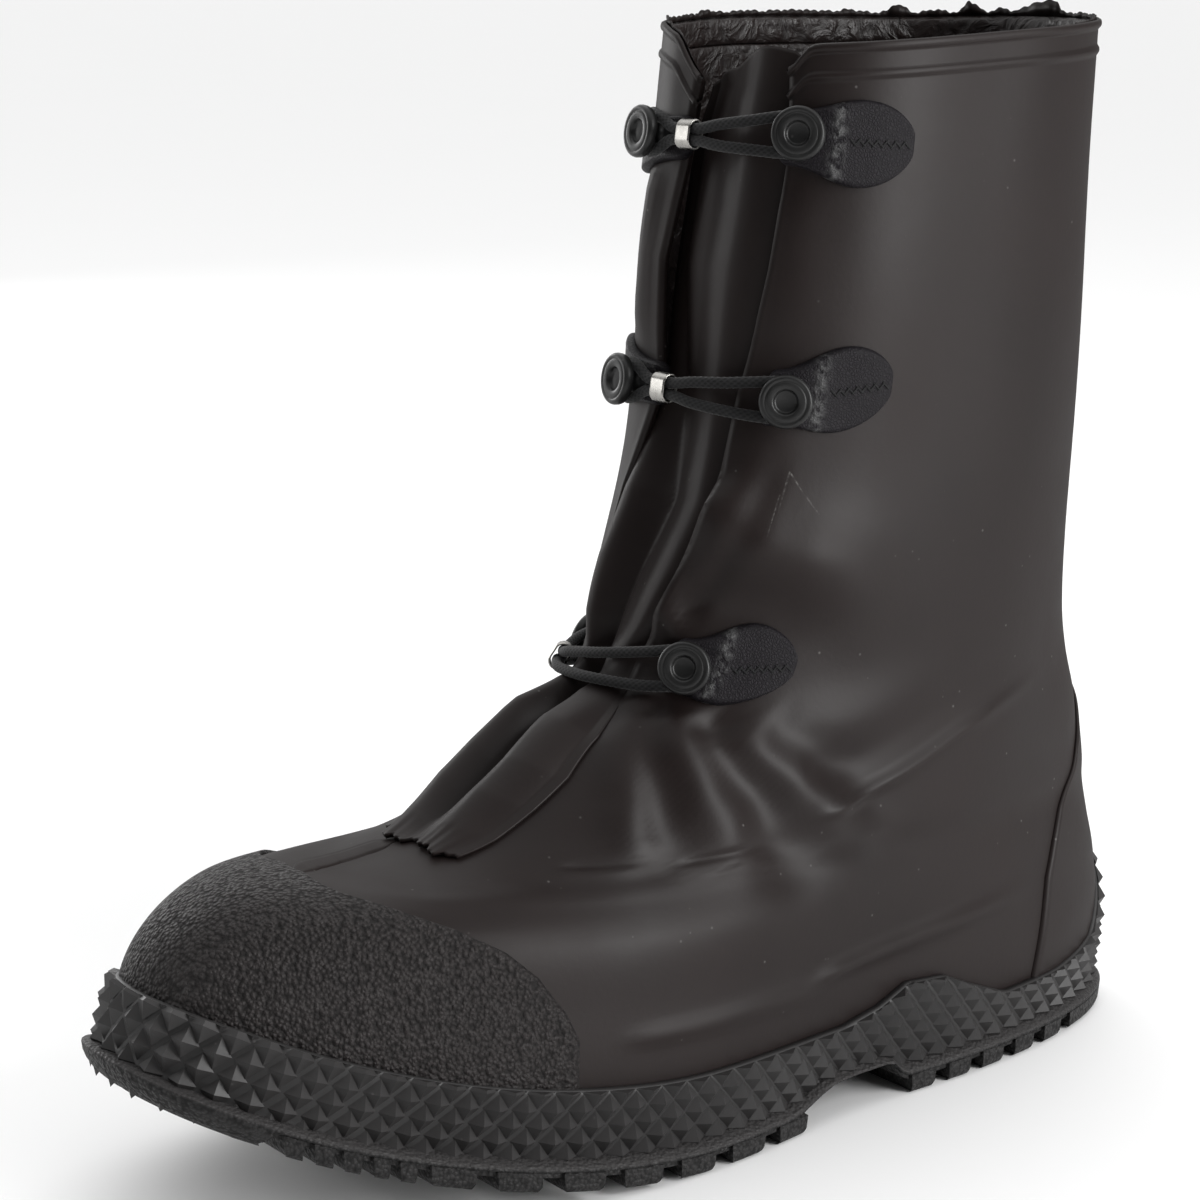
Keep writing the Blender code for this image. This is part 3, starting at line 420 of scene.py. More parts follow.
def way_places(way, samples):
    """Loop angles and levels along a way, in even steps between its points."""
    degrees, levels = np.transpose(way)
    at = np.linspace(0, len(way) - 1, samples)
    knots = np.arange(len(way))
    return np.radians(np.interp(at, knots, degrees)), np.interp(at, knots, levels)


def way_distance(points, way):
    """Distance of points from a way, and the share of the way where it is nearest."""
    path = upper_point(*way_places(way, FOLD_SAMPLES))
    best = np.full(points.shape[:-1], np.inf)
    share = np.zeros(points.shape[:-1])
    for i in range(len(path) - 1):
        run = path[i + 1] - path[i]
        t = np.clip(((points - path[i]) @ run) / (run @ run), 0, 1)
        distance = np.linalg.norm(points - path[i] - t[..., None] * run, axis=-1)
        closer = distance < best
        best = np.where(closer, distance, best)
        share = np.where(closer, (i + t) / (len(path) - 1), share)
    return best, share


def fold_relief(points):
    """Height of all folds at points of the upper's plain face."""
    relief = np.zeros(points.shape[:-1])
    for fold in FOLDS:
        distance, share = way_distance(points, fold.way)
        ends = smooth(share / FOLD_START) * smooth((1 - share) / FOLD_TAPER)
        width = fold.width * (FOLD_NARROW + (1 - FOLD_NARROW) * share)
        relief += fold.height * np.exp(-(distance / width) ** 2) * ends
    return relief


def upper_relief(points, levels):
    """Folds of the upper, and slow waves that fade out towards the sole."""
    return fold_relief(points) + UPPER_WAVES * wobble(points) * smooth(levels / WAVE_LEVELS)


# Meshes

def grid_faces(rows, columns, closed=False, wrapped=False):
    """Quads of a grid; closed joins the last column to the first, and wrapped the last row."""
    faces = []
    for r in range(rows if wrapped else rows - 1):
        low, high = r * columns, (r + 1) % rows * columns
        for c in range(columns if closed else columns - 1):
            n = (c + 1) % columns
            faces.append((low + c, low + n, high + n, high + c))
    return faces


def linked(name, data):
    """New object at the origin, in the scene."""
    item = bpy.data.objects.new(name, data)
    bpy.context.scene.collection.objects.link(item)
    return item


def mesh_object(name, points, faces, *finishes, smooth_faces=True):
    """Object with named finishes from points in the section table's frame."""
    mesh = bpy.data.meshes.new(name)
    mesh.from_pydata(placed(points).reshape(-1, 3).tolist(), [], faces)
    for finish in finishes:
        mesh.materials.append(finish_named(finish))
    mesh.update()
    if smooth_faces:
        mesh.shade_smooth()
    return linked(name, mesh)


def remove_mesh(piece):
    """Remove a mesh object with its mesh."""
    data = piece.data
    bpy.data.objects.remove(piece)
    bpy.data.meshes.remove(data)


@contextmanager
def mesh_edit(piece):
    """A piece's mesh, open for editing and written back at the end."""
    work = bmesh.new()
    work.from_mesh(piece.data)
    yield work
    work.to_mesh(piece.data)
    work.free()


def drop_loose(work):
    """Drop the points that no face uses."""
    bmesh.ops.delete(work, geom=[v for v in work.verts if not v.link_faces], context="VERTS")


def turn_outwards(piece, merge=False):
    """Turn the faces of a closed mesh outwards, after merging its doubles where asked."""
    with mesh_edit(piece) as work:
        if merge:
            drop_loose(work)
            bmesh.ops.remove_doubles(work, verts=work.verts, dist=MERGE_DISTANCE)
        bmesh.ops.recalc_face_normals(work, faces=work.faces)


def apply_modifiers(piece):
    """Turn the piece with its modifiers into a plain mesh."""
    depsgraph = bpy.context.evaluated_depsgraph_get()
    mesh = bpy.data.meshes.new_from_object(piece.evaluated_get(depsgraph))
    piece.modifiers.clear()
    old = piece.data
    piece.data = mesh
    mesh.name = piece.name
    bpy.data.meshes.remove(old)


def add_wall(piece, thickness, inner_slot=0):
    """Wall grown inwards from a sheet, with its own material inside where asked."""
    wall = piece.modifiers.new("wall", "SOLIDIFY")
    wall.thickness = thickness * MM
    wall.offset = -1.0
    wall.use_even_offset = False
    wall.material_offset = inner_slot
    apply_modifiers(piece)


def set_attribute(mesh, name, values):
    """Float attribute on the points of a mesh."""
    attribute = mesh.attributes.new(name, "FLOAT", "POINT")
    attribute.data.foreach_set("value", np.asarray(values, np.float32).ravel())


def finish_piece(piece, slot, *nodes):
    """Let a piece ride on the boot and stand for its frame nodes; its slot is not used."""
    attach(piece, "root")
    if nodes:
        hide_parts(*nodes)


def sheet_piece(name, points, finish, wall, slot, *nodes):
    """Finished piece from a grid of points, with a wall grown inwards from it."""
    points = np.asarray(points)
    piece = mesh_object(name, points, grid_faces(*points.shape[:2]), finish)
    add_wall(piece, wall)
    finish_piece(piece, slot, *nodes)


def closed_piece(name, points, faces, finish, slot, *nodes, merge=False, **attributes):
    """Finished piece from a closed mesh, with named values on its points."""
    piece = mesh_object(name, points, faces, finish)
    for label, values in attributes.items():
        set_attribute(piece.data, label, values)
    turn_outwards(piece, merge)
    finish_piece(piece, slot, *nodes)


def joined(name, parts):
    """Join separate meshes of one finish into one object."""
    work = bmesh.new()
    for part in parts:
        work.from_mesh(part.data)
    mesh = bpy.data.meshes.new(name)
    work.to_mesh(mesh)
    work.free()
    mesh.materials.append(parts[0].data.materials[0])
    for part in parts:
        remove_mesh(part)
    return linked(name, mesh)


# Shader helpers

class Tree:
    """Adds and links nodes of one node tree."""

    def __init__(self, tree):
        self.tree = tree

    def add(self, kind, inputs=None, **settings):
        node = self.tree.nodes.new(kind)
        for name, value in settings.items():
            setattr(node, name, value)
        for name, value in (inputs or {}).items():
            self.feed(node.inputs[name], value)
        return node

    def feed(self, socket, value):
        if isinstance(value, bpy.types.NodeSocket):
            self.tree.links.new(value, socket)
        else:
            socket.default_value = value

    def place(self):
        return self.add("ShaderNodeTexCoord").outputs["Object"]

    def math(self, operation, first, second=0.0, clamp=False):
        node = self.add("ShaderNodeMath", {0: first, 1: second}, operation=operation, use_clamp=clamp)
        return node.outputs[0]

    def vector(self, operation, first, second):
        node = self.add("ShaderNodeVectorMath", {0: first, 1: second}, operation=operation)
        return node.outputs["Value" if operation in ("DOT_PRODUCT", "LENGTH") else "Vector"]

    def scaled(self, vector, factor):
        return self.add("ShaderNodeVectorMath", {0: vector, "Scale": factor}, operation="SCALE").outputs[0]

    def remap(self, value, low, high, to_low=0.0, to_high=1.0, **settings):
        inputs = {"Value": value, "From Min": low, "From Max": high, "To Min": to_low, "To Max": to_high}
        return self.add("ShaderNodeMapRange", inputs, **settings).outputs[0]

    def mix(self, factor, first, second):
        return self.add("ShaderNodeMix", {0: factor, 6: first, 7: second}, data_type="RGBA").outputs[2]

    def noise(self, scale, detail=2.0, roughness=0.5, distortion=0.0):
        inputs = {"Vector": self.place(), "Scale": scale, "Detail": detail, "Roughness": roughness,
                  "Distortion": distortion}
        return self.add("ShaderNodeTexNoise", inputs).outputs["Fac"]

    def cells(self, scale, feature="F1"):
        return self.add("ShaderNodeTexVoronoi", {"Vector": self.place(), "Scale": scale}, feature=feature)

    def attribute(self, name):
        return self.add("ShaderNodeAttribute", attribute_name=name).outputs["Fac"]


class Group(Tree):
    """Shader node group with number or vector inputs and number outputs."""

    def __init__(self, name, inputs, *outputs):
        super().__init__(bpy.data.node_groups.new(name, "ShaderNodeTree"))
        sockets = self.tree.interface
        for label, default in inputs.items():
            kind = "NodeSocketFloat" if isinstance(default, float) else "NodeSocketVector"
            sockets.new_socket(label, in_out="INPUT", socket_type=kind).default_value = default
        for label in outputs:
            sockets.new_socket(label, in_out="OUTPUT", socket_type="NodeSocketFloat")
        self.given = self.add("NodeGroupInput").outputs
        self.results = self.add("NodeGroupOutput").inputs

    def give(self, label, value):
        self.feed(self.results[label], value)


def dust_group(name):
    """Handled rubber: cloudy wipe marks and sparse light specks."""
    group = Group(name, {"Cloud Scale": 14.0, "Speck Scale": 420.0, "Speck Amount": 0.5}, "Cloud", "Speck")
    cloud = group.noise(group.given["Cloud Scale"], detail=5.0, roughness=0.6)
    group.give("Cloud", group.remap(cloud, 0.32, 0.68))
    cells = group.cells(group.given["Speck Scale"]).outputs
    dot = group.remap(cells["Distance"], 0.20, 0.06)
    chance = group.add("ShaderNodeSeparateColor", {"Color": cells["Color"]}).outputs[0]
    speck = group.math("MULTIPLY", dot, group.remap(chance, 0.965, 0.985))
    group.give("Speck", group.math("MULTIPLY", speck, group.given["Speck Amount"]))


def scratch_group(name):
    """Mask of one thin straight scratch between two places on a face."""
    origin = (0.0, 0.0, 0.0)
    group = Group(name, {"Width": 0.0005, "Start": origin, "End": origin, "Facing": origin}, "Mask")
    start, facing = group.given["Start"], group.given["Facing"]
    reach = group.vector("SUBTRACT", group.place(), start)
    depth = group.vector("DOT_PRODUCT", reach, facing)
    reach = group.vector("SUBTRACT", reach, group.scaled(facing, depth))
    run = group.vector("SUBTRACT", group.given["End"], start)
    share = group.math("DIVIDE", group.vector("DOT_PRODUCT", reach, run),
                       group.vector("DOT_PRODUCT", run, run), clamp=True)
    away = group.vector("LENGTH", group.vector("SUBTRACT", reach, group.scaled(run, share)), origin)
    near = group.math("DIVIDE", away, group.given["Width"])
    on_face = group.remap(group.math("ABSOLUTE", depth), 0.015, 0.010)
    group.give("Mask", group.math("MULTIPLY", group.remap(near, 1.0, 0.4), on_face))


def pebble_group(name):
    """Moulded pebble grain: rounded grains with narrow gaps, and a mask of the gaps for painted shade."""
    group = Group(name, {"Scale": 800.0, "Unevenness": 0.4}, "Height", "Gap")
    grains = group.cells(group.given["Scale"], "SMOOTH_F1")
    grains.inputs["Smoothness"].default_value = 0.35
    rough = group.noise(group.math("MULTIPLY", group.given["Scale"], 0.55), detail=3.0, roughness=0.6)
    dome = group.math("SUBTRACT", 1.0, grains.outputs["Distance"])
    uneven = group.math("MULTIPLY", group.math("SUBTRACT", rough, 0.5), group.given["Unevenness"])
    height = group.math("ADD", dome, group.math("MULTIPLY", uneven, 3.0))
    group.give("Height", height)
    # The gap mask darkens the gaps as painted shade and also roughens them.
    group.give("Gap", group.remap(height, 0.62, 0.25))


def skin_group(name):
    """Fine skin of moulded rubber: soft orange peel with a finer tooth."""
    group = Group(name, {"Scale": 500.0, "Tooth": 0.35}, "Height")
    peel = group.noise(group.given["Scale"])
    tooth = group.noise(group.math("MULTIPLY", group.given["Scale"], 4.0), roughness=0.6)
    group.give("Height", group.math("ADD", peel, group.math("MULTIPLY", tooth, group.given["Tooth"])))


GROUPS = {
    "handled rubber": dust_group, "scratch line": scratch_group, "pebble grain": pebble_group,
    "rubber skin": skin_group,
}


def setting_colour(name):
    """A colour setting as four numbers."""
    return (*getattr(bpy.context.scene.overboot, name), 1.0)


def lighter(value, factor):
    """A colour times a factor."""
    return (*(channel * factor for channel in value[:3]), 1.0)


class Finish(Tree):
    """One Principled material, with helpers for its colour, roughness and bump."""

    def __init__(self, name, base, specular):
        self.material = bpy.data.materials.new(name)
        self.material.use_nodes = True
        super().__init__(self.material.node_tree)
        self.base = base
        self.set("Specular IOR Level", specular)

    def set(self, name, value):
        self.feed(self.tree.nodes["Principled BSDF"].inputs[name], value)

    def group(self, name, **values):
        if name not in bpy.data.node_groups:
            GROUPS[name](name)
        node = self.add("ShaderNodeGroup", node_tree=bpy.data.node_groups[name])
        for label, value in values.items():
            node.inputs[label.replace("_", " ").title()].default_value = value
        return node.outputs

    def dust(self, cloud_scale, speck_amount):
        return self.group("handled rubber", cloud_scale=cloud_scale, speck_amount=speck_amount)

    def tone(self, factor):
        return lighter(self.base, factor)

    def tones(self, mask, low, high):
        return self.mix(mask, self.tone(low), self.tone(high))

    def rough(self, mask, low, high):
        self.set("Roughness", self.remap(mask, 0.0, 1.0, low, high))

    def bump(self, height, depth, strength):
        inputs = {"Height": height, "Distance": depth * MM, "Strength": strength}
        self.set("Normal", self.add("ShaderNodeBump", inputs).outputs[0])

    def skin(self, scale, depth, strength, tooth=0.35):
        self.bump(self.group("rubber skin", scale=scale, tooth=tooth)["Height"], depth, strength)


def scratch_marks(finish):
    """Mask of all scratches of the upper."""
    marks = 0.0
    for scratch in SCRATCHES:
        angles, levels = way_places((scratch.start, scratch.end), 2)
        start, end = (tuple(place) for place in placed(upper_point(angles, levels)))
        facing = tuple(upper_normal(angles[0], levels[0]))
        line = finish.group("scratch line", width=scratch.width * MM, start=start, end=end, facing=facing)
        marks = finish.math("MAXIMUM", line["Mask"], marks)
    return marks


def rubber_finish(finish):
    """Satin black rubber of the upper: wipe marks, specks, scratches and a fine skin."""
    dust = finish.dust(cloud_scale=16.0, speck_amount=0.5)
    shade = finish.mix(dust["Speck"], finish.tones(dust["Cloud"], 0.85, 1.2), SCUFF_COLOUR)
    torn = finish.noise(700.0, detail=3.0, roughness=0.7)
    torn = finish.remap(torn, 0.42, 0.65, to_low=0.05, to_high=0.6)
    scuffed = finish.math("MULTIPLY", scratch_marks(finish), torn)
    finish.set("Base Color", finish.mix(scuffed, shade, SCUFF_COLOUR))
    middle = bpy.context.scene.overboot.rubber_roughness
    satin = finish.remap(dust["Cloud"], 0.0, 1.0, to_low=middle - 0.05, to_high=middle + 0.06)
    turned = finish.add("ShaderNodeLayerWeight", {"Blend": 0.5}).outputs["Facing"]
    dull = finish.remap(turned, 0.35, 0.9, to_high=0.25)
    finish.set("Roughness", finish.math("ADD", satin, dull))
    finish.skin(scale=650.0, depth=0.05, strength=0.5)


def lining_finish(finish):
    """Inside of the upper: dull rubber with a crinkled face, painted paler on its raised crinkles and darker
    in their hollows as painted light and shade.
    """
    crinkle = finish.remap(finish.noise(140.0, detail=5.0, distortion=1.5), 0.3, 0.7)
    # Painted light and shade: the crinkle's height also sets the colour, paler on top and darker in the
    # hollows.
    finish.set("Base Color", finish.tones(crinkle, 0.9, 1.6))
    finish.rough(crinkle, 0.5, 0.3)
    finish.bump(crinkle, depth=0.9, strength=0.7)


def pebbled(finish, scale, depth, roughness):
    """Matte rubber with a pebble grain of a given scale and depth, with painted shade in the grain's gaps,
    and painted paler as a painted highlight where a piece marks its ledge.
    """
    grain = finish.group("pebble grain", scale=scale)
    speck = finish.dust(cloud_scale=22.0, speck_amount=0.4)["Speck"]
    # Painted shade: darker in the gaps between the grains, paler on their tops.
    shade = finish.mix(speck, finish.tones(grain["Gap"], 1.15, 0.5), finish.tone(SPECK_TONE))
    # Painted highlight: where a piece marks its ledge top, that part is painted paler for the light falling
    # on the ledge.
    finish.set("Base Color", finish.mix(finish.attribute("rubbed"), shade, finish.tone(LEDGE_HIGHLIGHT_TONE)))
    finish.rough(grain["Gap"], roughness, roughness + 0.25)
    finish.bump(grain["Height"], depth, strength=0.9)


def cap_finish(finish):
    """Rough pebbled rubber of the toe cap."""
    pebbled(finish, scale=880.0, depth=1.0, roughness=0.58)


def sole_finish(finish):
    """Pebbled rubber of the outsole."""
    pebbled(finish, scale=950.0, depth=0.4, roughness=0.55)


def knurl_finish(finish):
    """Moulded rubber of the knurled foxing, paler on its sharp ridges."""
    dust = finish.dust(cloud_scale=30.0, speck_amount=0.5)
    # Paler where the surface is most pointed: the ridges and tips of the pyramids.
    edge = finish.remap(finish.add("ShaderNodeNewGeometry").outputs["Pointiness"], 0.5, 0.58)
    ridge = finish.math("MULTIPLY", edge, 0.35)
    shade = finish.mix(ridge, finish.tones(dust["Cloud"], 0.9, 1.25), finish.tone(3.0))
    finish.set("Base Color", finish.mix(dust["Speck"], shade, finish.tone(SPECK_TONE)))
    finish.rough(dust["Cloud"], 0.42, 0.56)
    finish.skin(scale=900.0, depth=0.06, strength=0.6, tooth=0.6)


def tab_finish(finish):
    """Tab rubber with a fine leather grain, painted shade in the grain's grooves, and a crinkled strip beside
    the button that is glossier and painted paler as a painted sheen.
    """
    grain = finish.remap(finish.cells(1150.0, "DISTANCE_TO_EDGE").outputs["Distance"], 0.0, 0.3)
    creased = finish.remap(finish.noise(500.0), 0.38, 0.66)
    shine = finish.math("MULTIPLY", finish.attribute("crinkle"), creased)
    painted_sheen = lighter(setting_colour("button_colour"), 7.0)
    # Painted shade darkens the grain's grooves; the crinkled strip is painted paler as a painted sheen, on
    # top of its lower roughness.
    finish.set("Base Color", finish.mix(shine, finish.tones(grain, 0.6, 1.3), painted_sheen))
    finish.rough(shine, 0.58, 0.3)
    finish.bump(finish.math("ADD", grain, finish.math("MULTIPLY", shine, 5.0)), depth=0.1, strength=0.8)


def thread_finish(finish):
    """Black sewing thread."""
    fuzz = finish.noise(2600.0, detail=3.0, roughness=0.7)
    finish.set("Base Color", finish.tones(fuzz, 0.5, 1.2))
    finish.set("Roughness", finish.remap(fuzz, 0.3, 0.7, to_low=0.7, to_high=0.9))


def button_finish(finish):
    """Satin moulded plastic of the buttons."""
    dust = finish.dust(cloud_scale=90.0, speck_amount=0.4)
    shade = finish.tones(dust["Cloud"], 0.8, 1.3)
    finish.set("Base Color", finish.mix(dust["Speck"], shade, finish.tone(SPECK_TONE)))
    finish.rough(dust["Cloud"], 0.32, 0.46)
    finish.skin(scale=900.0, depth=0.04, strength=0.4)


def elastic_finish(finish):
    """Braided elastic: painted shade in the grooves of the braid, with a soft sheen."""
    weave = finish.attribute("weave")
    fuzz = finish.noise(3000.0, roughness=0.6)
    # Painted shade: darker where the weave marks the braid's grooves.
    shade = finish.tones(weave, 0.35, 1.7)
    finish.set("Base Color", finish.mix(finish.remap(fuzz, 0.6, 0.8), shade, finish.tone(3.0)))
    finish.rough(weave, 0.95, 0.7)
    finish.set("Sheen Weight", 0.12)
    finish.set("Sheen Roughness", 0.4)
    finish.bump(fuzz, depth=0.08, strength=0.6)


def metal_finish(finish):
    """Plated steel of the ferrules, worn and a little uneven."""
    wear = finish.noise(700.0, detail=4.0, roughness=0.6)
    finish.set("Base Color", finish.tones(finish.remap(wear, 0.35, 0.65), 0.75, 1.0))
    finish.set("Metallic", 1.0)
    finish.set("Roughness", finish.remap(wear, 0.3, 0.7, to_low=0.2, to_high=0.38))
    finish.bump(wear, depth=0.04, strength=0.5)


def floor_finish(finish):
    """Plain pale floor."""
    finish.set("Base Color", finish.tones(finish.noise(3.0), 0.995, 1.0))
    finish.set("Roughness", 0.8)


# Finishes: function that fills the material, setting of its base colour, and specular level
FinishKind = namedtuple("FinishKind", "fill colour specular")
FINISHES = {
    "satin rubber": FinishKind(rubber_finish, "rubber_colour", 0.16),
    "inside rubber": FinishKind(lining_finish, "rubber_colour", 0.35),
    "pebbled cap": FinishKind(cap_finish, "cap_colour", 0.27),
    "pebbled sole": FinishKind(sole_finish, "sole_colour", 0.27),
    "knurled rubber": FinishKind(knurl_finish, "sole_colour", 0.34),
    "grained tab": FinishKind(tab_finish, "tab_colour", 0.14),
    "black thread": FinishKind(thread_finish, "elastic_colour", 0.3),
    "button plastic": FinishKind(button_finish, "button_colour", 0.28),
    "braided elastic": FinishKind(elastic_finish, "elastic_colour", 0.3),
    "plated steel": FinishKind(metal_finish, "metal_colour", 0.5),
    "pale floor": FinishKind(floor_finish, "floor_colour", 0.2),
}


def finish_named(name):
    """Material of a finish, made once."""
    if name not in bpy.data.materials:
        kind = FINISHES[name]
        kind.fill(Finish(name, setting_colour(kind.colour), kind.specular))
    return bpy.data.materials[name]


# Geometry node helper

SCATTER_INPUTS = {"Points": "Geometry", "Shape": "Object", "Material": "Material", "Size": "Vector"}


def scatter(name, points, facing, along, shape, finish, size):
    """Plain mesh of a small shape set on many points by a node tree.

    Each point has a facing and an along direction; size scales the shape, in millimetres."""
    source = mesh_object(name, points, [])
    for label, values in (("facing", facing), ("along", along)):
        attribute = source.data.attributes.new(label, "FLOAT_VECTOR", "POINT")
        attribute.data.foreach_set("vector", np.asarray(values, np.float32).ravel())
    group = bpy.data.node_groups.new(name, "GeometryNodeTree")
    ids = {}
    for label, kind in SCATTER_INPUTS.items():
        socket = group.interface.new_socket(label, in_out="INPUT", socket_type="NodeSocket" + kind)
        ids[label] = socket.identifier
    group.interface.new_socket("Pieces", in_out="OUTPUT", socket_type="NodeSocketGeometry")
    tree = Tree(group)
    given = tree.add("NodeGroupInput").outputs
    axes = {}
    for axis, label in (("Primary Axis", "facing"), ("Secondary Axis", "along")):
        named = tree.add("GeometryNodeInputNamedAttribute", {"Name": label}, data_type="FLOAT_VECTOR")
        axes[axis] = named.outputs["Attribute"]
    turn = tree.add("FunctionNodeAxesToRotation", axes, primary_axis="Z", secondary_axis="X")
    form = tree.add("GeometryNodeObjectInfo", {"Object": given["Shape"]})
    dots = tree.add("GeometryNodeMeshToPoints", {"Mesh": given["Points"]})
    spread = tree.add("GeometryNodeInstanceOnPoints", {
        "Points": dots.outputs[0], "Instance": form.outputs["Geometry"],
        "Rotation": turn.outputs[0], "Scale": given["Size"]})
    real = tree.add("GeometryNodeRealizeInstances", {"Geometry": spread.outputs[0]})
    paint = tree.add("GeometryNodeSetMaterial", {"Geometry": real.outputs[0], "Material": given["Material"]})
    tree.add("NodeGroupOutput", {0: paint.outputs[0]})
    spreader = source.modifiers.new(name, "NODES")
    spreader.node_group = group
    spreader[ids["Shape"]] = shape
    spreader[ids["Material"]] = finish_named(finish)
    spreader[ids["Size"]] = [value * MM for value in size]
    bpy.context.view_layer.update()
    apply_modifiers(source)
    remove_mesh(shape)
    for label in ("facing", "along"):
        if label in source.data.attributes:
            source.data.attributes.remove(source.data.attributes[label])
    return source


def unit_shape(name, points, faces):
    """Small shape of unit size for a scatter, kept out of the render."""
    mesh = bpy.data.meshes.new(name)
    mesh.from_pydata(points, [], faces)
    shape = linked(name, mesh)
    shape.hide_render = True
    return shape


# Upper

# Rows of the upper from the sole line up: level where each run of rows ends, and its rows
LEVEL_RUNS = ((THROAT[0].level, 76), (9.6, 44), (12.70, 44), (COLLAR, 28))

# Columns around the upper and across its closed front
UPPER_COLUMNS = 196
FRONT_COLUMNS = 14

# Rolled rim and the bead under it: distance below the rim, half width and height
RIM_BEADS = ((1.3, 1.3, 0.9), (8.6, 1.2, 0.7))

# Lips along both edges of the slit: height, half width, and levels over which they rise
LIP_HEIGHT, LIP_WIDTH, LIP_RUN = 0.6, 1.3, 1.5

# Collar line: rise on the inner side and drops at the flap corners, at loop angles in degrees
INNER_RISE, RISE_RUN, RISE_END, RISE_FADE = 4.5, 25.0, 150.0, 90.0
FAR_DROP, FAR_FROM, FAR_RUN = 9.0, -11.0, 10.0
NEAR_DROP, NEAR_AT, NEAR_HALF = 6.0, 20.5, 4.5
FLAP_SPLIT = 5.0
COLLAR_FROM, COLLAR_RUN = 11.6, 1.4


def upper_levels():
    """Levels of the upper's rows, closest at the collar's beads."""
    levels = [np.zeros(1)]
    for stop, count in LEVEL_RUNS:
        levels.append(np.linspace(levels[-1][-1], stop, count)[1:])
    return np.concatenate(levels)


def collar_shift(angle, level):
    """How far the collar stands above its plain line: up on the inner side, down at both flap corners."""
    turned = np.degrees((angle + math.pi) % (2 * math.pi) - math.pi)
    inner = np.clip(-turned, 0, None)
    rise = INNER_RISE * smooth(inner / RISE_RUN) * smooth((RISE_END - inner) / RISE_FADE)
    far_corner = -FAR_DROP * smooth((turned - FAR_FROM) / FAR_RUN) * (turned < FLAP_SPLIT)
    near_corner = -NEAR_DROP * np.exp(-((turned - NEAR_AT) / NEAR_HALF) ** 2) * (turned > FLAP_SPLIT)
    return (rise + far_corner + near_corner) * smooth((level - COLLAR_FROM) / COLLAR_RUN)


def rim_beads(below_rim):
    """Height of the rolled rim and the bead under it at a distance below the rim."""
    height = np.zeros_like(below_rim)
    for centre, half, rise in RIM_BEADS:
        height += rise * np.sqrt(np.clip(1 - ((below_rim - centre) / half) ** 2, 0, 1))
    return height


def make_upper():
    """Hollow foot and shaft with its front slit, flap lips and beaded collar."""
    levels = upper_levels()
    near = np.radians(column(THROAT, levels, "near"))[:, None]
    far = np.radians(column(THROAT, levels, "far"))[:, None]
    around = np.linspace(0, 1, UPPER_COLUMNS + 1)
    across = np.linspace(0, 1, FRONT_COLUMNS + 1)[1:-1]
    back = near + (far + 2 * math.pi - near) * around
    bend = COLUMN_SPREAD * np.sin(2 * back)
    back = back + bend - bend[:, :1] * (1 - around) - bend[:, -1:] * around
    angles = np.concatenate([back, far + (near - far) * across], axis=1)
    rows = np.broadcast_to(levels[:, None], angles.shape)
    plain = upper_point(angles, rows)
    climb = lengths_along(plain)
    out = upper_relief(plain, rows) + rim_beads(climb[-1] - climb)
    points = shell_point(angles, rows, out)
    points[..., 2] += collar_shift(angles, rows)
    flap = slice(0, UPPER_COLUMNS + 1)
    from_near = lengths_along(plain[:, flap], axis=1)
    from_far = from_near[:, -1:] - from_near
    opened = smooth((levels - THROAT[0].level) / LIP_RUN)[:, None]
    lip = LIP_HEIGHT * opened * (np.exp(-(from_near / LIP_WIDTH) ** 2) + np.exp(-(from_far / LIP_WIDTH) ** 2))
    points[:, flap] += lip[..., None] * upper_normal(angles[:, flap], rows[:, flap])
    columns = angles.shape[1]
    slit_row = LEVEL_RUNS[0][1] - 1
    faces = []
    for face in grid_faces(len(levels), columns, closed=True):
        in_front = any(index % columns > UPPER_COLUMNS for index in face)
        if face[0] // columns < slit_row or not in_front:
            faces.append(face)
    piece = mesh_object("upper_rubber", points, faces, "satin rubber", "inside rubber")
    with mesh_edit(piece) as work:
        drop_loose(work)
    add_wall(piece, WALL, 1)
    finish_piece(piece, "upper_rubber", "upper")


# Ragged lumps of flash on the rim: loop angle, height and half width in degrees
Lump = namedtuple("Lump", "angle height half")
FLASH = [
    Lump(179.0, 2.9, 7.0), Lump(176.0, 0.9, 2.5), Lump(191.0, 0.7, 4.0), Lump(201.5, 2.3, 4.5),
    Lump(203.0, 0.8, 1.8), Lump(214.0, 0.6, 5.0), Lump(227.0, 1.9, 5.0), Lump(229.0, 0.7, 1.6),
    Lump(246.0, 0.5, 6.0), Lump(263.0, 0.5, 4.0), Lump(300.0, 0.8, 5.0), Lump(331.0, 1.2, 4.0),
]

# Span of the flash in degrees, its samples and the fades at both ends, then sizes in millimetres
FLASH_FROM, FLASH_TO, FLASH_SAMPLES = 120, 352, 460
FLASH_START, FLASH_END = 25, 8
FLASH_INSET, FLASH_FOOT, FLASH_LEAN, FLASH_WALL = 0.7, 0.8, 0.35, 0.45
FLASH_LEAST = 0.05

# Teeth of the flash between its lumps: heights, rates in radians per degree of the loop, and phases
TEETH_MIDDLE = 0.5
SLOW_TEETH, SLOW_RATE, BEAT_RATE, BEAT_PHASE = 0.35, 0.7, 0.23, 1
FINE_TEETH, FINE_RATE, FINE_PHASE = 0.22, 2.3, 0.5
LUMP_STEEPNESS, LEAN_RATE = 1.2, 0.9


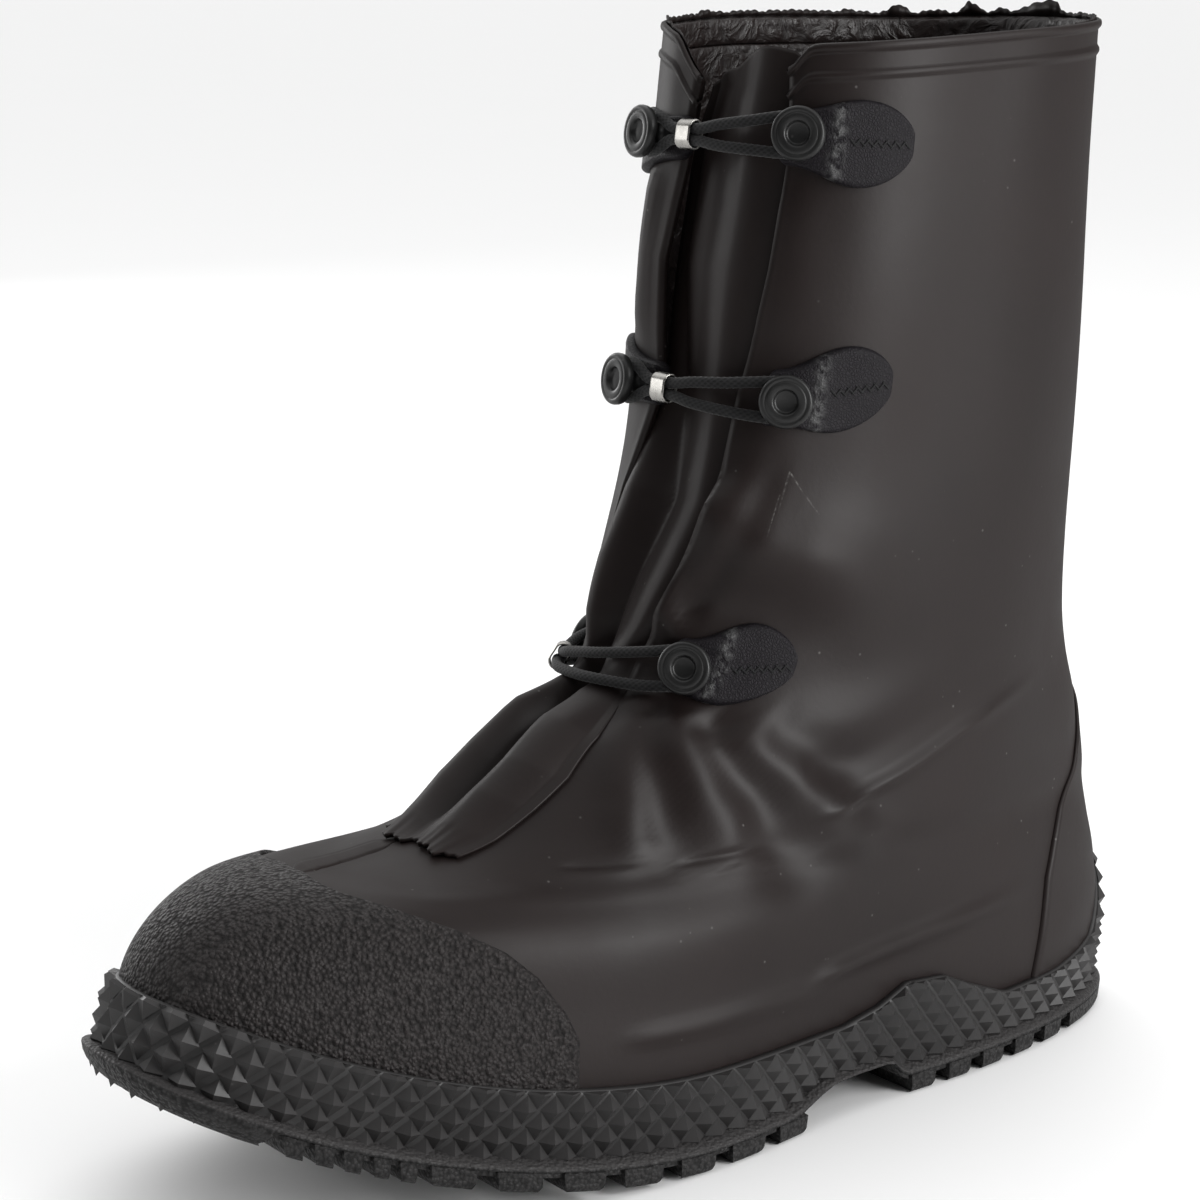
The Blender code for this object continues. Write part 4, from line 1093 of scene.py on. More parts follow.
def make_rim_flash():
    """Thin ragged strip of trimmed rubber left along the inside of the rim."""
    degrees = np.linspace(FLASH_FROM, FLASH_TO, FLASH_SAMPLES)
    angles = np.radians(degrees)
    slow = SLOW_TEETH * np.sin(degrees * SLOW_RATE) * np.sin(degrees * BEAT_RATE + BEAT_PHASE)
    ragged = TEETH_MIDDLE + slow + FINE_TEETH * np.sin(degrees * FINE_RATE + FINE_PHASE)
    for lump in FLASH:
        near = 1 - np.abs(degrees - lump.angle) / lump.half
        ragged += lump.height * np.clip(LUMP_STEEPNESS * near, 0, 1)
    ragged *= smooth((degrees - FLASH_FROM) / FLASH_START) * smooth((FLASH_TO - degrees) / FLASH_END)
    rim = shell_point(angles, COLLAR, -FLASH_INSET)
    rim[:, 2] += collar_shift(angles, COLLAR)
    high = rim + upper_normal(angles, COLLAR) * (FLASH_LEAN * np.sin(degrees * LEAN_RATE))[:, None]
    high[:, 2] += np.clip(ragged, FLASH_LEAST, None)
    low = rim - [0, 0, FLASH_FOOT]
    sheet_piece("rim_flash", [low, high], "satin rubber", FLASH_WALL, "upper_rubber")


# Gusset

# Points of the gusset, level of its top, share across where its flat edges begin, their rise, and its waves
GUSSET_ROWS = 200
GUSSET_TOP = COLLAR - 0.02
GUSSET_COLUMNS = 111
PLEAT_FLANGE = 0.86
FLANGE_RISE = 0.3
GUSSET_WAVES, GUSSET_WAVE_SCALE = 0.25, 1.7

# Torn lower end: where it fades out, its waves (height in levels, rate and phase) and its one long tip
TORN_LEVEL, TORN_RUN = 6.6, 0.7
TORN_WAVES = ((0.10, 5.0, 0.9), (0.035, 17.0, 0.0), (0.02, 41.0, 1.0))
TIP_LONG, TIP_AT, TIP_HALF = 0.28, -0.62, 0.05

# Upper end: level where it begins, its peak, its falls to both sides, and how far it sinks and leans back
CROWN_LEVEL, CROWN_RUN = 12.3, 0.7
CROWN_PEAK, CROWN_AT, CROWN_HALF = 2.0, 0.15, 0.4
FAR_FALL, FAR_FALL_FROM = 8.0, 0.1
NEAR_FALL, NEAR_FALL_FROM, NEAR_FALL_RUN = 4.0, 0.5, 0.4
CROWN_SINK, CROWN_BACK = 2.0, 2.0


def pleat_profile(row, across):
    """Height across the gusset at one level: flat edge, round ridge, sharp valley, round ridge, flat edge."""
    at = (-1.0, -PLEAT_FLANGE, row.ridge_at, row.valley_at, row.second_at, PLEAT_FLANGE, 1.0)
    height = (row.far_out, row.far_out + FLANGE_RISE, row.ridge_out, row.valley_out, row.second_out,
              row.near_out + FLANGE_RISE, row.near_out)
    result = np.zeros_like(across)
    last = len(at) - 2
    for i in range(last + 1):
        inside = (across >= at[i]) & (across <= at[i + 1])
        share = (across[inside] - at[i]) / (at[i + 1] - at[i])
        rise = height[i + 1] - height[i]
        if 0 < i < last:
            share = np.sin(share * math.pi / 2) if rise > 0 else 1 - np.cos(share * math.pi / 2)
        result[inside] = height[i] + rise * share
    return result


def make_gusset():
    """Pleated strip: welded over the vamp below, folded behind the two flaps above."""
    levels = np.linspace(PLEATS[0].level, GUSSET_TOP, GUSSET_ROWS)
    across = np.linspace(-1, 1, GUSSET_COLUMNS)
    out = np.zeros((GUSSET_ROWS, GUSSET_COLUMNS))
    angles = np.zeros_like(out)
    for i, level in enumerate(levels):
        row = Pleat(*(float(column(PLEATS, level, name)) for name in Pleat._fields))
        out[i] = pleat_profile(row, across)
        angles[i] = np.radians(row.far + (row.near - row.far) * (across + 1) / 2)
    torn = sum(height * np.sin(across * rate + phase) for height, rate, phase in TORN_WAVES)
    torn = torn + TIP_LONG * np.exp(-np.abs(across - TIP_AT) / TIP_HALF)
    rows = levels[:, None] + smooth((TORN_LEVEL - levels[:, None]) / TORN_RUN) * torn
    out += GUSSET_WAVES * wobble(upper_point(angles, rows) * GUSSET_WAVE_SCALE)
    points = shell_point(angles, rows, out)
    top = smooth((rows - CROWN_LEVEL) / CROWN_RUN)
    crown = CROWN_PEAK * np.exp(-((across - CROWN_AT) / CROWN_HALF) ** 2)
    crown -= FAR_FALL * smooth(FAR_FALL_FROM - across)
    crown -= NEAR_FALL * smooth((across - NEAR_FALL_FROM) / NEAR_FALL_RUN)
    points[..., 2] += top * (crown - CROWN_SINK)
    points[..., 1] += top * CROWN_BACK
    sheet_piece("gusset_rubber", points, "satin rubber", GUSSET_WALL, "upper_rubber", "gusset")


# Seam of the vamp: its way as loop angles and levels, and its section across as shares of width and height
SEAM_WAY = ((0.5, 4.15), (-4.5, 4.5), (-7.5, 4.9), (-8.0, 5.35), (-6.5, 5.9))
SEAM_PROFILE = ((-3.0, -0.4), (-1.2, 0.35), (0.0, 0.8), (0.8, 1.0), (1.0, 0.5), (0.7, -0.4))
SEAM_SAMPLES = 60
SEAM_WIDTH, SEAM_NARROW = 1.9, 0.4
SEAM_HEIGHT = 1.5
SEAM_ENDS = 6


def make_vamp_seam():
    """Thin overlapping lip that runs from the toe cap's point up to the gusset's end."""
    angles, levels = way_places(SEAM_WAY, SEAM_SAMPLES)
    base = upper_point(angles, levels)
    normal = upper_normal(angles, levels)
    side = np.cross(normal, normalised(np.gradient(base, axis=0)))
    share = np.linspace(0, SEAM_ENDS, SEAM_SAMPLES)
    taper = (smooth(share) * smooth(share[::-1]))[:, None]
    rows = []
    for across, height in SEAM_PROFILE:
        width = across * SEAM_WIDTH * (SEAM_NARROW + (1 - SEAM_NARROW) * taper)
        rows.append(base + side * width + normal * height * SEAM_HEIGHT * taper)
    faces = grid_faces(len(rows), SEAM_SAMPLES, wrapped=True)
    faces.append(tuple(r * SEAM_SAMPLES for r in range(len(rows))))
    faces.append(tuple((r + 1) * SEAM_SAMPLES - 1 for r in reversed(range(len(rows)))))
    closed_piece("vamp_seam", rows, faces, "satin rubber", "upper_rubber", merge=True)


# Overlays

# Height of an overlay's edge, how far it goes down behind the foxing, and height of the toe cap's waves
OVERLAY_FOOT = 0.15
OVERLAY_TUCK = 6.0
CAP_WAVES = 0.3


def cap_relief(points, levels):
    """Slow waves of the toe cap, the same at all levels."""
    return CAP_WAVES * wobble(points)


# Overlays of the toe and heel: loop angle of the middle, rows and columns of points, height, width of
# the rounded edge and wall, and the function of its relief
Overlay = namedtuple("Overlay", "name outline middle rows columns height edge wall relief finish slot")
OVERLAYS = [
    Overlay("toe_cap", TOE_CAP, 0.0, 90, 151, 1.3, 2.2, 1.2, cap_relief, "pebbled cap", "grained_rubber"),
    Overlay("heel_counter", HEEL_COUNTER, math.pi, 80, 101, 1.1, 1.2, 1.0, upper_relief, "satin rubber",
            "upper_rubber"),
]


def overlay_out(distance, height, edge):
    """Height of an overlay at a distance from its edge: rounded down to the face at the edge."""
    t = np.clip(distance / edge, 0, 1)
    return OVERLAY_FOOT + (height - OVERLAY_FOOT) * np.sqrt(1 - (1 - t) ** 2)


def edge_distance(points):
    """Distance of grid points from the grid's top, left and right edges, in millimetres."""
    rows = np.linalg.norm(points - points[-1:], axis=-1)
    left = np.linalg.norm(points - points[:, :1], axis=-1)
    right = np.linalg.norm(points - points[:, -1:], axis=-1)
    return np.minimum(rows, np.minimum(left, right))


def make_overlay(overlay):
    """Raised panel around the toe or heel, from inside the foxing up to its edge."""
    across = np.linspace(-1, 1, overlay.columns)
    turn = overlay.middle + across * abs(math.radians(overlay.outline[0].angle) - overlay.middle)
    low = level_at_height(turn, foxing_height(turn) - OVERLAY_TUCK)
    levels = low + (overlay.outline[-1].level - low) * np.linspace(0, 1, overlay.rows)[:, None]
    width = np.abs(np.radians(column(overlay.outline, levels, "angle")) - overlay.middle)
    angles = overlay.middle + width * across
    plain = upper_point(angles, levels)
    out = overlay_out(edge_distance(plain), overlay.height, overlay.edge) + overlay.relief(plain, levels)
    sheet_piece(overlay.name + "_rubber", shell_point(angles, levels, out), overlay.finish, overlay.wall,
                overlay.slot, overlay.name)


# Foxing

# Columns of the band, its height out of the face, overlap with the sole, least rise and flare at the toe
BAND_COLUMNS = 300
BAND_OUT = 2.3
BAND_SINK = 0.3
BAND_LEAST = 0.2
TOE_FLARE = 6.5

# Section of the band from its outer foot over its top edge: share of its height, and height out of the face
BAND_PROFILE = [(0.0, BAND_OUT), *((share, BAND_OUT) for share in np.linspace(0.05, 0.94, 7)),
                (0.985, BAND_OUT - 0.2), (1.0, BAND_OUT - 1.0), (0.995, 0.05), (0.5, -0.2), (0.0, -0.2)]


def band_foot(y):
    """Height of the band's lower edge, just inside the sole plate and raised with its arch."""
    return SOLE_THICKNESS - BAND_SINK + sole_lift(y) + ARCH_RISE * arch_share(y)


def band_face(angle, height, out):
    """Face of the band at heights over the sole line, flared out onto the sole around the toe."""
    toe = smooth((foot_share(angle) - TOE_FROM) / TOE_RUN)
    low = 1 - np.clip((height - FEATHER_Z) / (foxing_height(angle) - FEATHER_Z), 0, 1)
    return shell_point(angle, level_at_height(angle, height), out + TOE_FLARE * toe * low)


def make_foxing():
    """Band around the foot that carries the knurl."""
    angle = ring_angles(BAND_COLUMNS)
    rows = []
    for share, out in BAND_PROFILE:
        height = FEATHER_Z + (foxing_height(angle) - FEATHER_Z) * share
        if out > 0:
            rows.append(band_face(angle, height, out))
        else:
            rows.append(shell_point(angle, level_at_height(angle, height), out))
    for row in (rows[0], rows[-1]):
        row[:, 2] = band_foot(row[:, 1])
    for row in rows[1:-1]:
        row[:, 2] = np.maximum(row[:, 2], band_foot(row[:, 1]) + BAND_LEAST)
    faces = grid_faces(len(rows), BAND_COLUMNS, closed=True, wrapped=True)
    closed_piece("foxing_band", rows, faces, "knurled rubber", "foxing_rubber", "foxing", merge=True)


# Knurl: points and height for the count of its pyramids, seat in the band, height of the first row, margin
# and least height under the band's edge, how much of its pitch a pyramid fills, step up for directions, and
# share of the arch from which pyramids are cut off at the band's foot
KNURL_SAMPLES = 2000
KNURL_LINE = 18.0
KNURL_SEAT = BAND_OUT - 0.15
KNURL_START = 0.4
KNURL_MARGIN = 0.3
KNURL_LEAST = 0.4
KNURL_FILL = 0.97
KNURL_STEP = 1.0
ARCH_EDGE = 0.02

# Pyramid of unit size, with its tip a little above the middle
PYRAMID = [(1, 0, 0), (0, 1, 0), (-1, 0, 0), (0, -1, 0), (0, 0.06, 1)]
PYRAMID_FACES = [(0, 1, 4), (1, 2, 4), (2, 3, 4), (3, 0, 4), (3, 2, 1, 0)]


def knurl_stations(half_wide):
    """Loop angles at even steps of half a pyramid around the band, an even number of them."""
    dense = ring_angles(KNURL_SAMPLES)
    middle = shell_point(dense, level_at_height(dense, KNURL_LINE), BAND_OUT)
    length = lengths_along(np.concatenate([middle, middle[:1]]))
    count = 2 * round(length[-1] / half_wide / 2)
    return np.interp(np.arange(count) * length[-1] / count, length, np.append(dense, 2 * math.pi))


def make_knurl():
    """Diamond pyramids set row by row over the foxing band."""
    settings = bpy.context.scene.overboot
    half_wide = settings.knurl_width / MM / 2
    half_tall = settings.knurl_height / MM / 2
    stations = knurl_stations(half_wide)
    order = np.arange(len(stations))
    top = foxing_height(stations) - KNURL_MARGIN
    places, facing, along, cuts = [], [], [], []
    made = 0
    for row in range(math.ceil((top.max() - FEATHER_Z) / half_tall) + 1):
        height = FEATHER_Z + row * half_tall + KNURL_START
        chosen = np.nonzero((height - half_tall < top - KNURL_LEAST) & ((order + row) % 2 == 0))[0]
        turn = stations[chosen]
        here = band_face(turn, height, KNURL_SEAT)
        around = band_face(turn + ANGLE_STEP, height, KNURL_SEAT) - here
        normal = normalised(np.cross(around, band_face(turn, height + KNURL_STEP, KNURL_SEAT) - here))
        places.append(here)
        facing.append(normal)
        along.append(around)
        over = height + half_tall > top[chosen]
        for i in np.nonzero(over)[0]:
            edge_turn = turn[i] + np.array([-ANGLE_STEP, 0.0, ANGLE_STEP])
            edge_level = level_at_height(edge_turn, foxing_height(edge_turn) - KNURL_MARGIN)
            edge = shell_point(edge_turn, edge_level, BAND_OUT)
            cuts.append((made + i, placed(edge[1]), np.cross(normal[i], edge[2] - edge[0])))
        foot = band_foot(here[:, 1])
        low = (here[:, 2] - half_tall < foot) & (arch_share(here[:, 1]) > ARCH_EDGE)
        for i in np.nonzero(low & ~over)[0]:
            cuts.append((made + i, placed((*here[i, :2], foot[i])), (0.0, 0.0, -1.0)))
        made += len(chosen)
    size = (half_wide * KNURL_FILL, half_tall * KNURL_FILL, settings.knurl_depth / MM)
    piece = scatter("foxing_knurl", np.concatenate(places), np.concatenate(facing), np.concatenate(along),
                    unit_shape("pyramid", PYRAMID, PYRAMID_FACES), "knurled rubber", size)
    clip_knurl(piece, cuts)
    finish_piece(piece, "foxing_rubber")


def clip_knurl(piece, cuts):
    """Cut the listed pyramids off at a plane: index, point of the plane and the side that goes."""
    with mesh_edit(piece) as work:
        work.verts.ensure_lookup_table()
        jobs = []
        for index, point, up in cuts:
            first = len(PYRAMID) * index
            jobs.append((work.verts[first:first + len(PYRAMID)], Vector(point), Vector(up).normalized()))
        for verts, point, up in jobs:
            edges = list({edge for vert in verts for edge in vert.link_edges})
            faces = list({face for vert in verts for face in vert.link_faces})
            split = bmesh.ops.bisect_plane(work, geom=verts + edges + faces, plane_co=point, plane_no=up,
                                           clear_outer=True)
            rim = [item for item in split["geom_cut"] if isinstance(item, bmesh.types.BMEdge)]
            bmesh.ops.holes_fill(work, edges=rim, sides=0)
        bmesh.ops.recalc_face_normals(work, faces=work.faces)


# Outsole

# Rings of a lug, of the block under the toe and of the plate: height, and step in from the outline
LUG_RINGS = ((LUG_TOP, 1.2), (LUG_TOP - 0.9, 0.1), (2.0, 0.4), (0.9, 0.9), (0.25, 1.6), (0.0, 2.4))
BLOCK_RINGS = ((7.0, 0.4), (6.4, 0.0), (4.8, 0.2), (3.0, 1.0), (1.4, 2.4), (0.4, 4.2), (0.0, 6.0))
PLATE_RINGS = ((PLATE_LOW, 3.0), (PLATE_LOW + 0.3, PLATE_RECESS), (5.6, PLATE_RECESS), (6.0, 0.2), (6.4, 0.0),
               (7.0, 0.1), (7.5, 0.6), (8.4, 2.4), (SOLE_THICKNESS + 0.3, 4.0))

# Points around the plate and a lug, height above which the ledge is painted paler as a painted highlight, and
# limits of the outlines
PLATE_COLUMNS = 240
LEDGE_FROM = 6.8
LUG_EDGE_POINTS = 13
LUG_LEAST = 1.5
BLOCK_OVERLAP = -1.0
PAST_HEEL = 8.0
RUN_LEAST, CORNER_LEAST = 1e-9, 0.8

# Ends of the arch: distance past the forefoot or before the heel where each slope begins, and its length
ARCH_FRONT, ARCH_FRONT_RUN = 8.0, 22.0
ARCH_BACK, ARCH_BACK_RUN = 1.0, 7.0


def arch_share(y):
    """One in the raised arch between forefoot and heel, falling off to both sides."""
    front = smooth((y - FOREFOOT.start + ARCH_FRONT) / ARCH_FRONT_RUN)
    return front * smooth((HEEL.start - ARCH_BACK - y) / ARCH_BACK_RUN)


def inset(outline, distance):
    """Closed plan outline moved inwards."""
    ahead = np.roll(outline, -1, axis=0) - outline
    ahead /= np.linalg.norm(ahead, axis=1, keepdims=True) + RUN_LEAST
    behind = np.roll(ahead, 1, axis=0)
    normal = np.stack([-(ahead[:, 1] + behind[:, 1]), ahead[:, 0] + behind[:, 0]], axis=1)
    spread = np.sum(normal ** 2, axis=1, keepdims=True)
    return outline + 2 * normal * distance / np.maximum(spread, CORNER_LEAST)


def lug_outline(side, first, last, channel):
    """Plan outline of one lug between two places along the foot, counter-clockwise."""
    angle = np.linspace(0.0, math.pi, PLAN_POINTS) * side
    edge = sole_outline(angle, flange(angle))
    low, high = min(first, last), max(first, last)
    inside = edge[(edge[:, 1] > low) & (edge[:, 1] < high) & (side * edge[:, 0] > channel + LUG_LEAST)]
    inside = inside[np.argsort(inside[:, 1])]
    keep = np.linspace(0, len(inside) - 1, LUG_EDGE_POINTS).round().astype(int)
    inside = inside[np.unique(keep)]
    swing = float(TOE_SWING * smooth((HEEL_Y - (low + high) / 2) / BOOT_LENGTH))
    inner = swing + side * channel
    outline = np.concatenate([inside, [[inner, inside[-1, 1]], [inner, inside[0, 1]]]])
    area = np.sum(outline[:, 0] * np.roll(outline[:, 1], -1) - np.roll(outline[:, 0], -1) * outline[:, 1])
    return outline if area > 0 else outline[::-1]


def add_lug(points, faces, outline, rings):
    """Add one closed lug with drafted sides and a rounded foot."""
    start = len(points)
    count = len(outline)
    for height, step in rings:
        for x, y in inset(outline, step):
            points.append((x, y, float(sole_lift(y)) + height))
    for a, b, c, d in grid_faces(len(rings), count, closed=True):
        faces.append((start + a, start + d, start + c, start + b))
    faces.append(tuple(range(start, start + count)))
    faces.append(tuple(reversed(range(len(points) - count, len(points)))))


def make_plate():
    """Sole plate with its ledge and raised arch."""
    angle = ring_angles(PLATE_COLUMNS)
    rings = []
    for height, step in PLATE_RINGS:
        plan = sole_outline(angle, flange(angle) - step)
        lift = sole_lift(plan[:, 1]) + height
        lift = lift + (max(ARCH_LOW - height, 0.0) + ARCH_RISE) * arch_share(plan[:, 1])
        rings.append(np.column_stack([plan, lift]))
    faces = grid_faces(len(rings), PLATE_COLUMNS, closed=True)
    top = (len(rings) - 1) * PLATE_COLUMNS
    for i in range(PLATE_COLUMNS // 2):
        ladder = list(dict.fromkeys([i, i + 1, PLATE_COLUMNS - i - 1, (PLATE_COLUMNS - i) % PLATE_COLUMNS]))
        faces.append(tuple(top + index for index in ladder))
        faces.append(tuple(reversed(ladder)))
    plate = mesh_object("sole_plate", rings, faces, "pebbled sole", smooth_faces=False)
    # The ledge's top rings are marked for a painted highlight: painted paler where light falls on the ledge.
    rubbed = [float(height > LEDGE_FROM) for height, _ in PLATE_RINGS]
    set_attribute(plate.data, "rubbed", np.repeat(rubbed, PLATE_COLUMNS))
    return plate


def make_lugs():
    """Lugs of forefoot and heel, bars and block of the toe."""
    points, faces = [], []
    for tread in (FOREFOOT, TOE_BARS, TOE_BLOCK, HEEL):
        channel, rings = (BLOCK_OVERLAP, BLOCK_RINGS) if tread is TOE_BLOCK else (CHANNEL_HALF, LUG_RINGS)
        for i in range(tread.count):
            first = tread.start + tread.direction * tread.pitch * i
            last = first + tread.direction * tread.length
            if tread is HEEL and i == tread.count - 1:
                last = HEEL_Y + PAST_HEEL
            for side in (1, -1):
                add_lug(points, faces, lug_outline(side, first, last, channel), rings)
    lugs = mesh_object("lugs", points, faces, "pebbled sole", smooth_faces=False)
    # The lugs get no painted ledge highlight.
    set_attribute(lugs.data, "rubbed", np.zeros(len(points)))
    return lugs


def make_outsole():
    """Sole plate and the lugs under it, as one piece."""
    parts = [make_plate(), make_lugs()]
    for part in parts:
        turn_outwards(part, merge=True)
    finish_piece(joined("outsole_rubber", parts), "sole_rubber", "outsole")


# Closures

Seat = namedtuple("Seat", "closure name level angle side")


def button_seats():
    """The two seats of each closure: its name, level and loop angle, and the side that its tab points to."""
    seats = []
    for closure in CLOSURES:
        near, far = math.radians(closure.near_angle), math.radians(closure.far_angle)
        seats.append(Seat(closure, "near_" + closure.name, closure.near_level, near, 1))
        seats.append(Seat(closure, "far_" + closure.name, closure.far_level, far, -1))
    return seats


def seat_frame(level, angle, out):
    """Frame on the upper's face: X backwards around the loop, Z along the outward normal."""
    normal = Vector(upper_normal(angle, level))
    right = Vector((0.0, 0.0, 1.0)).cross(normal).normalized()
    place = Matrix((right, normal.cross(right), normal)).transposed().to_4x4()
    place.translation = Vector(shell_point(angle, level, out))
    return place


def arc_steps(angle, level):
    """Millimetres per radian around the loop and per level up the face."""
    around = upper_point(angle + ANGLE_STEP, level) - upper_point(angle - ANGLE_STEP, level)
    up = upper_point(angle, level + LEVEL_STEP) - upper_point(angle, level - LEVEL_STEP)
    return np.linalg.norm(around) / (2 * ANGLE_STEP), np.linalg.norm(up) / (2 * LEVEL_STEP)


# Tab: points along and across, loop angle at which its scale is taken, foot of its edge and depth of
# its back
TAB_ALONG = 70
TAB_ACROSS = 37
TAB_SAMPLE = 0.3
TAB_FOOT = 0.7
TAB_SINK = 0.3

# Outline and height of a tab by shares of its length: where it widens, its round tip and its nose,
# how wide its rounded edge is, and where and how much it gets thinner
WIDEN_FROM, WIDEN_RUN = 0.1, 0.5
TIP_FROM, TIP_LEAST = 0.6, 0.0004
NOSE_LENGTH, NOSE_WIDTH = 0.06, 0.55
EDGE_WIDTH, END_FACTOR = 0.14, 4
THIN_BY, THIN_FROM, THIN_RUN = 0.9, 0.35, 0.3

# Factors of the far tabs, and the crinkled strip: place, half width, height and wave rates
FAR_TAB_WIDTH, FAR_TAB_CRINKLE = 0.8, 0.2
CRINKLE_AT, CRINKLE_HALF, CRINKLE_HEIGHT = 9.0, 1.7, 0.35
CRINKLE_ACROSS, CRINKLE_ALONG = 17, 30


def tab_place(seat, distance, height):
    """Loop angles and levels of tab points at distances behind the button and heights over its line."""
    per_radian, per_level = arc_steps(seat.angle + seat.side * TAB_SAMPLE, seat.level)
    droop = seat.closure.droop * (distance + TAB_FRONT) / TAB_LENGTH
    return seat.angle + seat.side * distance / per_radian, seat.level + (height - droop) / per_level


def tab_half(share):
    """Half width of a tab along its length: narrow nose, wide back, round end."""
    half = TAB_HALF_FRONT + (TAB_HALF_BACK - TAB_HALF_FRONT) * smooth((share - WIDEN_FROM) / WIDEN_RUN)
    tip = np.clip((share - TIP_FROM) / (1 - TIP_FROM), 0, 1)
    nose = np.sqrt(1 - (1 - np.clip(share / NOSE_LENGTH, 0, 1)) ** 2)
    return half * np.sqrt(np.clip(1 - tip ** 2, TIP_LEAST, 1)) * (NOSE_WIDTH + (1 - NOSE_WIDTH) * nose)


def tab_top(share, across, crinkle=0.0, phase=0.0):
    """Height of a tab's outer face: rounded edge, low dome and wrinkles beside the button."""
    rim = np.minimum(1 - np.abs(across), np.minimum(share, 1 - share) * END_FACTOR)
    edge = np.sqrt(1 - (1 - np.clip(rim / EDGE_WIDTH, 0, 1)) ** 2)
    lift = TAB_SEAT + TAB_THICKNESS - THIN_BY * smooth((share - THIN_FROM) / THIN_RUN)
    wave = np.sin(across * CRINKLE_ACROSS + share * CRINKLE_ALONG + phase)
    wrinkle = crinkle * CRINKLE_HEIGHT * wave
    return TAB_FOOT + (lift - TAB_FOOT) * edge + wrinkle * edge


def make_tab(seat):
    """Tongue shaped tab with a crinkled strip beside its button."""
    share = (1 - np.cos(np.linspace(0, math.pi, TAB_ALONG))) / 2
    across = np.sin(np.linspace(-math.pi / 2, math.pi / 2, TAB_ACROSS))
    share, across = np.meshgrid(share, across, indexing="ij")
    distance = -TAB_FRONT + TAB_LENGTH * share
    half = tab_half(share) * (1.0 if seat.side > 0 else FAR_TAB_WIDTH)
    crinkle = np.exp(-((distance - CRINKLE_AT) / CRINKLE_HALF) ** 2)
    crinkle = crinkle * (1.0 if seat.side > 0 else FAR_TAB_CRINKLE)
    angles, levels = tab_place(seat, distance, across * half)
    relief = fold_relief(upper_point(angles, levels))
    outer = shell_point(angles, levels, tab_top(share, across, crinkle, seat.closure.near_angle) + relief)
    inner = shell_point(angles, levels, relief - TAB_SINK)
    rows, columns = angles.shape
    total = rows * columns
    faces = grid_faces(rows, columns)
    faces += [tuple(total + i for i in reversed(face)) for face in grid_faces(rows, columns)]
    index = np.arange(total).reshape(rows, columns)
    rim = np.concatenate([index[0], index[1:, -1], index[-1, -2::-1], index[-2:0:-1, 0]]).tolist()
    for first, second in zip(rim, rim[1:] + rim[:1]):
        faces.append((second, first, total + first, total + second))
    closed_piece(f"tab_{seat.name}_skin", [outer, inner], faces, "grained tab", "tab_rubber",
                 "tab_" + seat.name, crinkle=[crinkle, crinkle * 0])


# Stitches: how many on a tab, from and to which distance behind the button, tilt, lift, and thread
STITCHES = 13
STITCH_FROM = 13.0
STITCH_TO = 27.5
STITCH_TILT = 0.8
STITCH_LIFT = 0.05
STITCH_RADIUS = 0.36
STITCH_SIDES = 6
STITCH_RINGS = ((-1.0, 0.25), (-0.6, 0.9), (0.6, 0.9), (1.0, 0.25))


def stitch_shape():
    """One stitch of unit size: a short thread with rounded ends along X."""
    ring = [(math.cos(a), math.sin(a)) for a in np.linspace(0, 2 * math.pi, STITCH_SIDES, endpoint=False)]
    points = [(x, radius * c, radius * s) for x, radius in STITCH_RINGS for c, s in ring]
    faces = grid_faces(len(STITCH_RINGS), STITCH_SIDES, closed=True)
    faces.append(tuple(reversed(range(STITCH_SIDES))))
    faces.append(tuple(range(len(points) - STITCH_SIDES, len(points))))
    return unit_shape("stitch", points, faces)


def make_stitches():
    """Zigzag row of stitches along the middle of every tab."""
    places, facing, along = [], [], []
    for seat in button_seats():
        for i, distance in enumerate(np.linspace(STITCH_FROM, STITCH_TO, STITCHES)):
            turn, height = tab_place(seat, distance, 0.0)
            relief = fold_relief(upper_point(turn, height)[None, :])[0]
            out = tab_top((distance + TAB_FRONT) / TAB_LENGTH, 0.0) + relief + STITCH_LIFT
            place = seat_frame(height, turn, out)
            tilt = STITCH_TILT if i % 2 else -STITCH_TILT
            places.append(tuple(place.translation))
            facing.append(tuple(place.col[2].to_3d()))
            along.append(tuple(place.to_3x3() @ Vector((math.cos(tilt), math.sin(tilt), 0.0))))
    size = (bpy.context.scene.overboot.stitch_length / MM / 2, STITCH_RADIUS, STITCH_RADIUS)
    piece = scatter("tab_stitches", places, facing, along, stitch_shape(), "black thread", size)
    turn_outwards(piece)
    finish_piece(piece, "elastic")


# Turned section of a button from the middle of its dish to the foot of its neck: radius, and height
# over the head's rim for the head, over the tab for the neck
BUTTON_SIDES = 56
BUTTON_HEAD = (
    (2.5, -1.5), (2.9, -1.35), (3.15, -0.9), (3.3, -0.35), (3.7, -0.1), (5.0, 0.0), (5.3, -0.12), (5.5, -0.3),
    (5.8, -0.12), (6.3, 0.0), (6.8, -0.2), (7.1, -0.7), (7.2, -1.3), (7.1, -2.2), (6.8, -2.9), (6.2, -3.3),
)
BUTTON_NECK = (
    (NECK_RADIUS, NECK_HEIGHT), (NECK_RADIUS - 0.1, 1.4), (NECK_RADIUS + 0.5, 0.4), (NECK_RADIUS + 1.6, -0.3),
)


